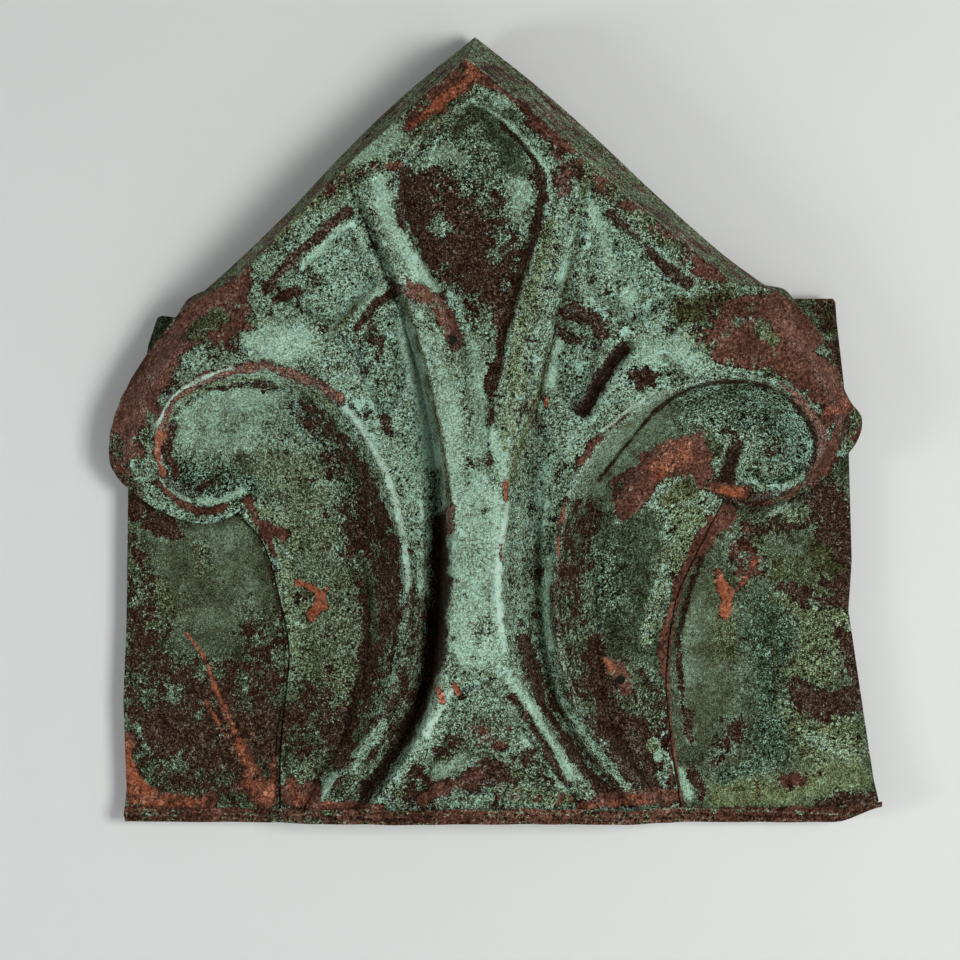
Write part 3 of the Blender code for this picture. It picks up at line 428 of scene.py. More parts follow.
# Strokes of the brush: (finish, radius, points). Later strokes lie over earlier ones.
FACE_STROKES = [
    # gable border
    ("brown_green", 10, [(-14, 446), (-47, 415), (-80, 388), (-124, 350), (-162, 320)]),
    ("brown", 9, [(0, 448), (24, 431), (45, 412), (63, 395)]),
    ("brown_green", 9, [(68, 389), (88, 370), (116, 347), (144, 327)]),
    ("brown", 4, [(77, 382), (94, 366)]),
    ("brown", 5, [(124, 336), (144, 322)]),
    ("brown", 6, [(-21, 436), (-6, 446), (5, 439)]),
    ("olive", 4, [(-14, 427), (-6, 431)]),
    ("olive", 4, [(-40, 406), (-32, 413), (-25, 419)]),
    ("grey_green", 4, [(10, 428), (21, 419)]),
    ("grey_green", 7, [(-77, 394), (-62, 406), (-50, 411)]),
    ("speckled_dark", 4, [(47, 395), (66, 379), (86, 362)]),
    ("brown", 2.5, [(-54, 391), (-48, 391)]),
    ("rust", 7, [(-4, 445), (-13, 436), (-24, 428)]),
    ("copper", 3.2, [(-18, 434), (-27, 426), (-32, 421)]),
    ("rust", 3, [(-32, 421), (-42, 413)]),
    ("maroon", 3, [(47, 400), (58, 389)]),
    # lobe: speckled green above, maroon below
    ("lobe", 18, [(-18, 400), (-3, 409), (12, 391), (-6, 385)]),
    ("grey_green", 5, [(-31, 394), (-20, 400), (-11, 395)]),
    ("teal_dark", 9, [(0, 420), (14, 406), (19, 392)]),
    ("dark_green", 5, [(-14, 413), (-7, 421)]),
    ("dusty", 20, [(-24, 370), (-6, 359), (-9, 335), (0, 317)]),
    ("maroon", 10, [(-6, 341), (0, 323), (7, 311)]),
    ("maroon", 5, [(-45, 385), (-40, 365)]),
    ("maroon", 7, [(-37, 376), (-30, 350), (-22, 334)]),
    ("mottled", 6, [(9, 373), (19, 382)]),
    ("grey_green", 6, [(21, 379), (27, 372), (21, 363)]),
    ("mottled", 4, [(-26, 357), (-20, 349)]),
    ("mottled", 7, [(15, 355), (12, 341)]),
    ("maroon_speckled", 6, [(-19, 330), (-14, 317)]),
    ("speckled", 6, [(-17, 308), (-13, 294)]),
    ("maroon", 3, [(36, 387), (37, 370), (29, 341), (21, 317), (15, 300)]),
    ("maroon", 3, [(-48, 370), (-42, 347), (-31, 323), (-21, 308)]),
    ("pale_edge", 0.9, [(-5, 429), (16, 415), (38, 390), (40, 376)]),
    # painted shade on the lobe's inner wall under its right rim
    ("black", 1.1, [(12, 415), (26, 402), (35, 389)]),
    ("lime", 0.8, [(-5, 429), (-24, 418), (-41, 402)]),
    # stalk, left band
    ("mint", 5, [(-61, 383), (-53, 361), (-41, 338), (-29, 317)]),
    ("brown", 5, [(-45, 318), (-32, 312), (-20, 301), (-16, 291)]),
    ("brown_red", 4.2, [(-16, 290), (-16, 285)]),
    ("black", 2.8, [(-16, 288), (-16, 287)]),
    ("mint", 2, [(-36, 302)]),
    ("mint", 5, [(-33, 286), (-28, 269)]),
    ("mint", 4, [(48, 294), (45, 276), (42, 262)]),
    ("mint_streaked", 7, [(-29, 285), (-24, 261), (-18, 235), (-14, 205)]),
    ("mint_streaked", 5, [(-6, 285), (-1, 252), (0, 223)]),
    ("maroon", 3.4, [(11, 311), (12, 285), (5, 258)]),
    ("maroon_speckled", 2.4, [(5, 264), (6, 229), (6, 216)]),
    ("lime", 5, [(24, 299), (21, 270), (16, 241), (14, 217)]),
    ("copper", 1, [(31, 252), (30, 242)]),
    # stalk, right band
    ("grey_brown", 7, [(48, 394), (48, 376)]),
    ("lime", 6, [(41, 355), (35, 329), (29, 305)]),
    ("mint", 3, [(63, 376), (56, 353), (49, 325)]),
    ("olive", 1.6, [(64, 389), (51, 317), (39, 270), (25, 229), (18, 205)]),
    # stalk, lower front
    ("mint_streaked", 9, [(-15, 193), (-11, 158), (-8, 123)]),
    ("mint_streaked", 6, [(-1, 205), (2, 158), (3, 129)]),
    ("mint", 2.5, [(9, 199), (9, 158), (9, 123)]),
    ("white", 1.8, [(15, 213), (15, 184), (12, 165), (11, 135), (14, 105)]),
    ("copper", 1.6, [(15, 213), (15, 193)]),
    ("copper", 0.9, [(12, 167), (12, 158)]),
    ("brown", 2.5, [(-17, 189), (-18, 176)]),
    ("mint", 8, [(-12, 111), (-4, 102), (6, 104)]),
    ("speckled", 6, [(-6, 81), (5, 92)]),
    ("speckled", 4, [(-22, 74), (-30, 60), (-38, 40)]),
    ("speckled_dark", 4, [(-37, 35), (-45, 18)]),
    ("white", 1.4, [(-17, 81), (-24, 68), (-31, 54)]),
    ("copper", 2.2, [(-25, 81), (-23, 74)]),
    ("copper", 1.6, [(-15, 84), (-13, 79)]),
    ("mint", 3, [(14, 94), (28, 74), (41, 51), (55, 29)]),
    ("maroon", 2, [(19, 78), (30, 60), (43, 39), (53, 24)]),
    ("mint", 2.2, [(16, 71), (26, 51), (40, 31), (56, 16)]),
    # gusset
    ("grey_brown", 18, [(2, 53), (-4, 36), (12, 33)]),
    ("speckled_dark", 7, [(12, 29), (36, 23)]),
    ("speckled_dark", 5, [(-17, 48), (-26, 30), (-33, 18)]),
    ("grey_green", 5, [(-24, 30), (-12, 36)]),
    ("brown", 4, [(-33, 15), (-21, 23), (-3, 26)]),
    ("maroon", 5, [(11, 24), (19, 20)]),
    ("speckled", 4, [(24, 21), (39, 18)]),
    ("mint", 2.2, [(48, 14)]),
    ("maroon_speckled", 6, [(27, 42), (40, 26)]),
    ("brown_green", 5, [(12, 20), (36, 16), (51, 15)]),
    # panels left of the stalk
    ("panel", 22, [(-92, 334), (-77, 317), (-64, 288), (-56, 252)]),
    ("maroon_speckled", 3.5, [(-109, 334), (-97, 326)]),
    ("maroon", 3, [(-79, 365), (-94, 350), (-113, 332), (-126, 317)]),
    ("maroon", 3, [(-109, 317), (-121, 312)]),
    ("pale_edge", 1.2, [(-76, 357), (-91, 345), (-105, 330)]),
    ("grey_green", 4, [(-89, 290), (-76, 304), (-60, 317)]),
    ("olive", 2, [(-85, 294), (-73, 307)]),
    ("maroon", 3, [(-50, 317), (-62, 310), (-73, 295)]),
    ("maroon_speckled", 7, [(-66, 299), (-57, 282)]),
    ("mint", 6, [(-51, 281), (-46, 257), (-41, 238)]),
    ("mint", 5, [(-83, 260), (-70, 248)]),
    ("maroon", 3.5, [(-57, 242), (-53, 228)]),
    ("speckled", 9, [(-109, 293), (-89, 278), (-76, 260), (-64, 234)]),
    ("mint", 11, [(-135, 291), (-120, 287), (-106, 289)]),
    ("copper", 2.2, [(-33, 256), (-33, 247)]),
    # left shoulder
    ("brown", 12, [(-165, 302), (-152, 312), (-143, 319)]),
    ("brown", 16, [(-198, 264), (-182, 283), (-163, 295), (-150, 303)]),
    ("brown_red", 6, [(-195, 273), (-182, 288), (-166, 301)]),
    ("brown", 12, [(-203, 255), (-211, 239), (-213, 223)]),
    ("brown_green", 8, [(-217, 229), (-215, 211), (-206, 199)]),
    ("speckled", 6, [(-173, 275), (-164, 279)]),
    ("olive", 5, [(-168, 291), (-158, 301)]),
    ("lime", 1.8, [(-107, 259), (-93, 254), (-84, 245)]),
    # painted highlight along the left scroll's rim
    ("white", 1.7, [(-81, 251), (-68, 233), (-53, 203), (-45, 172), (-41, 137), (-41, 117)]),
    ("speckled", 2.6, [(-43, 111), (-50, 87), (-64, 62)]),
    ("mint", 2.2, [(-59, 68), (-82, 35), (-96, 15)]),
    # left volute
    ("grey_green", 19, [(-168, 246), (-152, 254), (-134, 253), (-158, 229), (-140, 235)]),
    ("teal_black", 14, [(-175, 206), (-161, 200), (-144, 203)]),
    ("mint", 3, [(-167, 193), (-154, 194), (-143, 199)]),
    ("dark_green", 6, [(-143, 216), (-134, 212)]),
    ("leaf", 15, [(-124, 216), (-107, 205), (-94, 181)]),
    ("maroon_speckled", 5, [(-102, 244), (-93, 234)]),
    ("dusty", 14, [(-84, 222), (-71, 193), (-62, 158)]),
    ("maroon_speckled", 2.6, [(-103, 253), (-89, 241), (-76, 223)]),
    ("dim", 8, [(-76, 143), (-73, 116), (-77, 86), (-85, 61)]),
    ("maroon", 5, [(-71, 211), (-59, 181), (-52, 152)]),
    ("maroon", 10, [(-57, 158), (-56, 128), (-60, 101), (-70, 72), (-86, 39)]),
    ("speckled_dark", 4, [(-52, 110), (-60, 80), (-74, 52)]),
    ("speckled_dark", 4, [(-80, 220), (-64, 181), (-59, 146)]),
    ("maroon_speckled", 3, [(-174, 250), (-163, 260), (-139, 263), (-122, 259)]),
    ("maroon", 3, [(-183, 238), (-185, 222), (-180, 209)]),
    ("lime", 1.2, [(-181, 244), (-170, 256), (-152, 263), (-128, 265)]),
    ("bead", 3, [(-190, 229), (-186, 247), (-171, 261), (-154, 268), (-128, 272), (-111, 268),
         (-96, 262), (-83, 254)]),
    ("copper", 2.6, [(-188, 209), (-191, 222), (-189, 231)]),
    ("white", 0.9, [(-191, 238), (-181, 255), (-162, 266), (-147, 271)]),
    ("speckled", 3, [(-207, 214), (-197, 196), (-182, 184), (-164, 179), (-145, 186)]),
    ("brown", 2.4, [(-191, 204), (-181, 193), (-165, 187), (-152, 190)]),
    ("white", 0.8, [(-191, 206), (-184, 198), (-173, 193)]),
    # left leaf
    ("leaf", 22, [(-107, 169), (-97, 134), (-94, 110), (-100, 80)]),
    ("dark_leaf", 17, [(-104, 74), (-106, 50), (-94, 62)]),
    ("speckled_dark", 12, [(-89, 74), (-97, 52), (-107, 60)]),
    ("dim", 9, [(-107, 80), (-104, 48), (-97, 36)]),
    ("lime", 1.8, [(-118, 151), (-114, 122), (-112, 98)]),
    ("dim", 5, [(-110, 80), (-114, 50)]),
    ("lime", 6, [(-127, 184), (-113, 174), (-117, 156)]),
    ("brown", 3, [(-140, 193), (-130, 179), (-117, 172)]),
    ("brown", 2, [(-130, 175), (-124, 162)]),
    ("copper", 2.2, [(-109, 144), (-101, 141), (-95, 134), (-101, 124)]),
    ("copper", 2.6, [(-97, 136), (-94, 130)]),
    ("copper", 1.2, [(-91, 140), (-97, 133)]),
    ("khaki_dark", 11, [(-94, 94), (-87, 91)]),
    ("black", 2, [(-91, 93), (-90, 92)]),
    ("lime", 5, [(-105, 31)]),
    ("brown_red", 7, [(-115, 18), (-103, 12)]),
    ("rust", 4, [(-113, 23), (-108, 14), (-97, 8)]),
    ("rust", 3, [(-97, 9), (-81, 10)]),
    # painted shade along the lap between the left scroll and leaf
    ("black", 1.6, [(-78, 177), (-69, 150), (-67, 110), (-72, 88), (-82, 48)]),
    ("dark_green", 2.5, [(-73, 160), (-64, 134), (-63, 110)]),
    # scroll band beside the stalk, left
    ("speckled", 5, [(-50, 225), (-40, 193), (-35, 170)]),
    ("streaked_dark", 7, [(-33, 140), (-37, 104), (-47, 74), (-65, 44), (-83, 18)]),
    ("speckled_dark", 3, [(-39, 134), (-45, 99), (-57, 65)]),
    ("speckled", 2.4, [(-57, 61), (-76, 33)]),
    ("speckled", 4, [(41, 231), (39, 205), (35, 179)]),
    ("speckled", 3, [(-36, 160), (-33, 139)]),
    ("mint", 4, [(8, 231), (14, 211)]),
    # groove beside the stalk: painted shade over dark patina, a black band low down and a dark olive line
    # above
    ("black", 3.4, [(-24, 181), (-23, 134), (-27, 98), (-37, 69), (-52, 43), (-68, 19)]),
    ("olive_dark", 1.3, [(-44, 312), (-34, 276), (-27, 247), (-20, 211), (-18, 190)]),
    ("blue", 7, [(-52, 281), (-46, 253), (-39, 229), (-34, 205)]),
    # painted light: paler crust laid on the groove's shaded slope to lift its shade
    ("mint", 5, [(-45, 296), (-39, 270), (-33, 241), (-28, 217)]),
    # panels right of the stalk
    ("panel", 20, [(71, 350), (89, 341), (103, 320)]),
    ("blue", 8, [(78, 334), (95, 326)]),
    ("mint", 3, [(66, 367), (73, 347), (78, 329)]),
    ("mint", 8, [(89, 311), (100, 301)]),
    ("speckled", 8, [(113, 310), (124, 319), (94, 302)]),
    ("maroon", 2.8, [(76, 362), (91, 350), (106, 335), (124, 322)]),
    ("brown_green", 5, [(71, 379), (94, 361), (120, 340)]),
    ("maroon", 4, [(52, 304), (64, 302), (73, 291)]),
    ("maroon_speckled", 5, [(49, 293), (56, 287)]),
    ("panel", 9, [(54, 275), (65, 262), (60, 251)]),
    ("speckled", 9, [(95, 291), (87, 265), (71, 245), (51, 223)]),
    ("maroon_speckled", 7, [(96, 267), (106, 273)]),
    ("maroon", 2.6, [(95, 261), (106, 269)]),
    # painted shade in the chased groove, over dark patina
    ("black", 4.2, [(84, 282), (72, 267), (60, 247)]),
    ("copper", 1.2, [(40, 255), (39, 249)]),
    # right shoulder
    ("olive_dark", 8, [(119, 304), (132, 307), (143, 311)]),
    ("lime", 6, [(124, 288), (132, 284)]),
    ("mint", 9, [(102, 281), (120, 280), (130, 270)]),
    ("brown_red", 19, [(157, 299), (175, 303), (193, 294)]),
    ("brown_red", 19, [(155, 281), (187, 275), (206, 257)]),
    ("brown_red", 10, [(199, 254), (209, 238), (205, 222)]),
    ("brown_green", 4, [(200, 305), (211, 285), (217, 265)]),
    ("grey_brown", 6, [(151, 301), (161, 307)]),
    ("olive", 4, [(168, 296), (174, 288)]),
    ("brown_green", 6, [(222, 250), (225, 239), (221, 227)]),
    ("rust", 4.5, [(201, 246), (211, 247), (221, 253)]),
    ("maroon", 3, [(218, 239), (213, 225)]),
    ("brown", 2.6, [(59, 215), (71, 229), (83, 240), (100, 252), (119, 261), (143, 266), (165, 264)]),
    ("pale_edge", 1, [(98, 250), (116, 262), (130, 266), (146, 269), (167, 268)]),
    ("white", 1.2, [(73, 234), (89, 247), (104, 257)]),
    ("copper", 1.3, [(51, 193), (47, 176), (46, 158)]),
    ("brown_green", 1.8, [(46, 158), (43, 134), (46, 105), (53, 75)]),
    ("mint", 1.8, [(41, 158), (40, 134), (42, 105)]),
    # right volute
    ("dark_grey", 19, [(183, 241), (155, 248), (131, 253)]),
    ("smooth_pale", 12, [(107, 241), (87, 220), (74, 197)]),
    ("cells", 9, [(188, 237), (194, 222), (188, 211)]),
    ("teal", 4, [(161, 206), (177, 204), (192, 209)]),
    ("speckled", 2.2, [(160, 204), (177, 201), (191, 205)]),
    ("maroon", 2.6, [(188, 250), (198, 236), (201, 222), (195, 209)]),
    ("maroon", 2.2, [(173, 197), (156, 193), (144, 196)]),
    ("bead", 2.6, [(178, 262), (190, 252), (198, 240), (203, 227), (201, 211)]),
    ("brown_red", 5, [(210, 223), (206, 211), (194, 199), (179, 191)]),
    ("dark_green", 6, [(132, 230), (139, 222)]),
    ("brown_red", 11, [(95, 202), (109, 214), (131, 218)]),
    ("rust", 7, [(99, 205), (112, 216), (123, 222)]),
    ("brown_red", 7, [(88, 186), (95, 199)]),
    ("brown_red", 6, [(125, 204), (135, 209)]),
    ("olive", 5, [(112, 194), (121, 199)]),
    ("black", 4, [(152, 221), (149, 211), (147, 203)]),
    ("rust", 3.6, [(141, 200), (148, 199), (157, 197)]),
    ("copper", 2, [(144, 198), (154, 197)]),
    ("black", 0.9, [(144, 235), (152, 233), (156, 225)]),
    ("brown_green", 3.4, [(160, 188), (185, 194), (204, 206)]),
    ("black", 1, [(71, 205), (92, 232), (109, 250), (130, 261), (154, 263), (175, 258), (190, 246),
         (198, 231), (199, 216)]),
    # right leaf
    ("olive", 5, [(110, 192), (125, 197)]),
    ("teal_dark", 20, [(85, 158), (89, 132), (94, 109)]),
    ("teal_dark", 9, [(102, 175), (100, 158)]),
    ("dark_grey", 8, [(75, 158), (79, 134)]),
    ("lime", 8, [(121, 181), (125, 166), (112, 154)]),
    ("speckled_lime", 4, [(110, 150), (104, 131), (102, 110)]),
    ("dim", 7, [(96, 88), (102, 74), (103, 59)]),
    ("streaked_dark", 10, [(63, 187), (58, 157), (60, 122), (67, 80)]),
    ("streaked_dark", 6, [(51, 158), (49, 122), (56, 86), (68, 57)]),
    ("dark_green", 9, [(84, 104), (92, 80), (95, 64)]),
    ("maroon", 8, [(69, 110), (73, 86), (80, 64)]),
    ("maroon", 12, [(75, 62), (91, 50), (97, 28)]),
    ("speckled_dark", 6, [(96, 74), (99, 56)]),
    ("brown", 4.5, [(79, 95), (87, 89), (88, 79)]),
    ("copper", 1.8, [(74, 99), (79, 93)]),
    ("black", 1.6, [(81, 85)]),
    ("mint", 3.6, [(102, 48), (105, 39)]),
    ("brown_red", 3, [(139, 180), (127, 160), (117, 136), (112, 109), (112, 90)]),
    ("brown", 1.2, [(112, 85), (114, 56), (115, 23)]),
    # feet of the scrolls, right
    ("speckled", 2.5, [(32, 78), (49, 55), (72, 25)]),
    ("streaked_dark", 4, [(39, 81), (59, 53), (84, 21)]),
    ("maroon", 3, [(26, 110), (36, 74), (51, 48), (71, 21)]),
    ("speckled", 2, [(48, 74), (66, 49), (89, 20)]),
    ("brown", 4, [(72, 14), (96, 15), (120, 16)]),
    ("rust", 3, [(-90, 10), (-60, 10)]),
    ("rust", 3, [(60, 10), (102, 14)]),
]
WING_STROKES = [
    # left wing
    ("smooth", 26, [(-186, 157), (-162, 157), (-138, 139), (-156, 121)]),
    ("smooth_pale", 10, [(-161, 172), (-140, 174)]),
    ("maroon", 8, [(-210, 193), (-198, 185), (-185, 178)]),
    ("maroon_speckled", 6, [(-210, 169), (-208, 151)]),
    ("olive", 9, [(-198, 140), (-188, 132)]),
    ("brown_green", 6, [(-170, 166), (-166, 154)]),
    ("speckled_dark", 14, [(-209, 157), (-206, 133), (-204, 109)]),
    ("dim", 22, [(-198, 88), (-174, 79), (-144, 83)]),
    ("dim", 18, [(-131, 109), (-130, 85), (-131, 61)]),
    ("maroon", 18, [(-192, 58), (-162, 58), (-138, 43)]),
    ("dusty", 9, [(-168, 73), (-158, 54)]),
    ("grey_scratch", 8, [(-200, 73), (-187, 78), (-174, 68)]),
    ("maroon", 14, [(-180, 40), (-151, 36), (-131, 49)]),
    ("dim", 15, [(-194, 30), (-170, 23), (-144, 23)]),
    ("rust", 4, [(-212, 49), (-210, 31), (-204, 16)]),
    ("rust", 8, [(-208, 20), (-198, 14), (-187, 11)]),
    ("copper", 3, [(-211, 40), (-206, 28), (-198, 19)]),
    ("rust", 5, [(-187, 14), (-174, 12), (-163, 11)]),
    ("copper", 1.3, [(-176, 113), (-166, 100), (-160, 84), (-152, 66)]),
    ("rust", 2.4, [(-154, 70), (-145, 50), (-139, 34)]),
    ("rust", 4, [(-144, 47), (-137, 28)]),
    ("copper", 1.6, [(-145, 50), (-140, 37)]),
    ("copper", 0.8, [(-165, 73), (-154, 56), (-144, 40)]),
    ("rust", 0.7, [(-144, 60), (-132, 48), (-121, 38)]),
    ("rust", 9, [(-136, 23), (-128, 14)]),
    ("rust", 4, [(-125, 19), (-122, 35)]),
    ("rust", 3, [(-138, 34), (-142, 47)]),
    ("pale_edge", 1.8, [(-134, 111)]),
    ("pale_edge", 1.2, [(-140, 80)]),
    # right wing, in upright zones
    ("smooth", 14, [(132, 133), (136, 97), (133, 59)]),
    ("smooth_pale", 5, [(126, 130), (126, 85)]),
    ("olive", 8, [(148, 121), (148, 103)]),
    ("teal", 14, [(174, 126), (175, 85), (173, 46)]),
    ("olive_dark", 1, [(175, 136), (176, 103), (179, 67)]),
    ("lime_wing", 15, [(192, 133), (208, 115), (192, 70), (214, 54)]),
    ("lime_wing", 10, [(196, 44), (220, 40)]),
    ("speckled_lime", 6, [(199, 49), (222, 35), (204, 30)]),
    ("maroon", 14, [(205, 196), (215, 169), (220, 143)]),
    ("maroon", 10, [(211, 307), (217, 287), (217, 263)]),
    ("olive_dark", 7, [(199, 164), (212, 152)]),
    ("olive_dark", 5, [(208, 304), (211, 295)]),
    ("speckled_dark", 9, [(160, 175), (178, 180), (196, 186)]),
    ("lime", 6, [(154, 170), (166, 162)]),
    ("speckled", 2, [(174, 186), (184, 190)]),
    ("olive", 8, [(168, 154), (184, 149)]),
    ("maroon", 6, [(182, 143), (192, 138)]),
    ("maroon", 9, [(192, 77), (210, 70), (232, 70)]),
    ("maroon", 6, [(223, 103), (226, 85)]),
    ("khaki", 10, [(148, 16), (180, 19), (208, 23), (229, 30)]),
    ("brown", 4, [(182, 25), (192, 24)]),
    ("maroon", 4.5, [(206, 11), (223, 14), (240, 13)]),
    ("maroon_speckled", 8, [(142, 42), (152, 56)]),
    ("teal", 4, [(146, 28), (163, 35)]),
    ("mint", 3, [(120, 31), (125, 16)]),
    ("maroon", 3.5, [(127, 31), (132, 18)]),
    ("brown", 3, [(157, 170), (163, 160), (155, 149)]),
    ("grey_brown", 9, [(149, 179), (158, 164), (166, 154)]),
    ("rust", 4.6, [(143, 150), (146, 139)]),
    ("copper", 4.2, [(145, 144), (149, 133), (148, 125)]),
    ("rust", 2.2, [(154, 139), (161, 149), (166, 157)]),
    ("brown_red", 4.6, [(150, 186), (132, 162)]),
    ("black", 1.6, [(133, 158), (124, 134), (118, 106)]),
    ("maroon", 2, [(119, 109), (122, 73), (126, 49)]),
    ("brown", 2.5, [(120, 6), (168, 6), (228, 8)]),
]


def paint(base, strokes, seed):
    """Patina maps from a base finish and wandering soft strokes, broken up at several scales."""
    maps = {name: np.full((ROWS, COLUMNS), FINISHES[base].get(name, 0.0)) for name in CHANNELS}
    wander_x = 5.0 * cloud(22, seed) + 2.2 * cloud(7, seed + 1)
    wander_z = 5.0 * cloud(22, seed + 2) + 2.2 * cloud(7, seed + 3)
    ragged = 0.40 * cloud(14, seed + 4) + 0.40 * cloud(4, seed + 10)
    for finish, radius, points in strokes:
        away = distance([points], radius * 2.4 + 8)
        share = min(radius / 11.0, 1.0)
        away = sample(away, GRID_X + wander_x * share, GRID_Z + wander_z * share)
        mask = smoothstep(radius * 1.5, radius * 0.4, away * (1 + ragged))
        for name in CHANNELS:
            maps[name] = maps[name] * (1 - mask) + FINISHES[finish].get(name, 0.0) * mask
    maps["crust"] = maps["crust"] + 0.10 * cloud(40, seed + 5) + 0.16 * cloud(9, seed + 6)
    maps["light"] = maps["light"] + 0.06 * cloud(30, seed + 7) + 0.09 * cloud(7, seed + 8)
    maps["pale"] = maps["pale"] + 0.10 * cloud(12, seed + 9)
    return maps


def face_patina():
    """Maps of the pressed face, with painted shade and grime in the hollows and along the laps, and wear and
    painted glints on the crests.
    """
    maps = paint("base", FACE_STROKES, 20)
    hollow = blur(RELIEF, 7) - RELIEF
    fine = blur(RELIEF, 2.5) - RELIEF
    # painted shade: the relief's hollows and fine creases darkened into the colour, together with grime
    maps["grime_and_shade"] = np.maximum(maps["grime_and_shade"], np.clip(0.03 * hollow + 0.20 * fine, 0, 0.5))
    # crests: paler crust, and painted highlight glints
    crest = np.clip(-fine * 1.1, 0, 1)
    maps["pale"] = maps["pale"] + 0.12 * crest
    maps["light"] = maps["light"] + 0.06 * crest
    maps["painted_glint"] = np.maximum(maps["painted_glint"], crest * 0.2)
    # painted shade along the laps between the pressings
    laps = smoothstep(2.0, 0.6, distance([CREASE_L, CREASE_R, GUSSET_L, GUSSET_R], 6))
    maps["grime_and_shade"] = np.maximum(maps["grime_and_shade"], 0.6 * laps)
    flow = distance([RIM_L, RIM_R, GROOVE_L, GROOVE_R, STALK_L], 40)
    return maps, flow


def wing_patina():
    """Maps of the flat wings, with painted shade beside the raised work."""
    maps = paint("wing", WING_STROKES, 40)
    # painted shade on the wings where the scrolls' lower edges stand over them
    edge = smoothstep(7, 1, distance([EDGE_L[4:], EDGE_R[4:]], 10))
    maps["grime_and_shade"] = np.maximum(maps["grime_and_shade"], 0.5 * edge)
    return maps, GRID_X.copy()


FACE_MAPS, FACE_FLOW = face_patina()
WING_MAPS, WING_FLOW = wing_patina()


# ---------------------------------------------------------------- materials
def shader(name):
    """A new material with its node tree, Principled node and output."""
    made = bpy.data.materials.new(name)
    made.use_nodes = True
    tree = made.node_tree
    return made, tree, tree.nodes["Principled BSDF"]


def link(tree, source, target):
    tree.links.new(source, target)


def math_node(tree, operation, a, b, clamp=False):
    """A Math node on sockets or numbers."""
    node = tree.nodes.new("ShaderNodeMath")
    node.operation = operation
    node.use_clamp = clamp
    for socket, value in zip(node.inputs, (a, b)):
        if isinstance(value, (int, float)):
            socket.default_value = value
        else:
            link(tree, value, socket)
    return node.outputs[0]


def ramp(tree, factor, low, high):
    """Smooth step of a value between two limits."""
    node = tree.nodes.new("ShaderNodeMapRange")
    node.interpolation_type = "SMOOTHSTEP"
    node.inputs["From Min"].default_value = low
    node.inputs["From Max"].default_value = high
    link(tree, factor, node.inputs["Value"])
    return node.outputs["Result"]


def mix(tree, factor, a, b, blend="MIX"):
    """Mix of two colours, each a socket or an RGB tuple."""
    node = tree.nodes.new("ShaderNodeMix")
    node.data_type = "RGBA"
    node.blend_type = blend
    if isinstance(factor, (int, float)):
        node.inputs["Factor"].default_value = factor
    else:
        link(tree, factor, node.inputs["Factor"])
    for socket, value in ((node.inputs[6], a), (node.inputs[7], b)):
        if isinstance(value, tuple):
            socket.default_value = (*value, 1.0)
        else:
            link(tree, value, socket)
    return node.outputs[2]


def noise(tree, vector, scale, detail=4.0, rough=0.6, distortion=0.0):
    node = tree.nodes.new("ShaderNodeTexNoise")
    node.inputs["Scale"].default_value = scale
    node.inputs["Detail"].default_value = detail
    node.inputs["Roughness"].default_value = rough
    node.inputs["Distortion"].default_value = distortion
    link(tree, vector, node.inputs["Vector"])
    return node.outputs["Fac"]


def voronoi(tree, vector, scale, feature="F1"):
    node = tree.nodes.new("ShaderNodeTexVoronoi")
    node.feature = feature
    node.inputs["Scale"].default_value = scale
    link(tree, vector, node.inputs["Vector"])
    return node.outputs["Distance"]


def colour_ramp(tree, factor, stops):
    node = tree.nodes.new("ShaderNodeValToRGB")
    ramp_data = node.color_ramp
    while len(ramp_data.elements) < len(stops):
        ramp_data.elements.new(0.5)
    for element, (position, colour) in zip(ramp_data.elements, stops):
        element.position = position
        element.color = (*colour, 1.0)
    link(tree, factor, node.inputs["Fac"])
    return node.outputs["Color"]


def attribute(tree, name):
    """The three numbers that a piece's mesh carries under a name."""
    node = tree.nodes.new("ShaderNodeAttribute")
    node.attribute_name = name
    split = tree.nodes.new("ShaderNodeSeparateXYZ")
    link(tree, node.outputs["Vector"], split.inputs[0])
    return split.outputs


# Linear colours, dark to pale
CRUST_STOPS = [(0.0, (0.008, 0.006, 0.002)), (0.20, (0.034, 0.038, 0.016)), (0.40, (0.100, 0.125, 0.067)),
               (0.60, (0.235, 0.335, 0.225)), (0.80, (0.420, 0.660, 0.500)), (1.0, (0.660, 0.970, 0.820))]
MOSS_STOPS = [(0.0, (0.012, 0.009, 0.002)), (0.20, (0.042, 0.042, 0.012)), (0.40, (0.110, 0.125, 0.048)),
              (0.60, (0.235, 0.310, 0.150)), (0.80, (0.400, 0.560, 0.330)), (1.0, (0.600, 0.800, 0.560))]
TEAL_STOPS = [(0.0, (0.003, 0.007, 0.003)), (0.20, (0.013, 0.028, 0.014)), (0.40, (0.042, 0.080, 0.046)),
              (0.60, (0.115, 0.210, 0.132)), (0.80, (0.290, 0.510, 0.370)), (1.0, (0.520, 0.860, 0.690))]
OXIDE_STOPS = [(0.0, (0.0040, 0.0010, 0.0002)), (0.35, (0.024, 0.0085, 0.0035)),
               (0.55, (0.062, 0.029, 0.015)),
               (0.78, (0.130, 0.084, 0.056)), (1.0, (0.300, 0.290, 0.220))]
BROWN_STOPS = [(0.0, (0.022, 0.0065, 0.003)), (0.35, (0.090, 0.039, 0.024)), (0.60, (0.205, 0.086, 0.056)),
               (1.0, (0.480, 0.280, 0.200))]
COPPER_STOPS = [(0.0, (0.105, 0.029, 0.013)), (0.45, (0.345, 0.104, 0.048)), (0.75, (0.570, 0.205, 0.112)),
                (1.0, (0.860, 0.500, 0.360))]
FLECK = (0.520, 0.830, 0.680)
# GLINT is the colour of the painted highlights
GLINT = (0.850, 0.850, 0.800)
# near black of the cracks, pits and grime, and of the painted shade
GRIME_AND_SHADE = (0.0040, 0.0014, 0.0003)


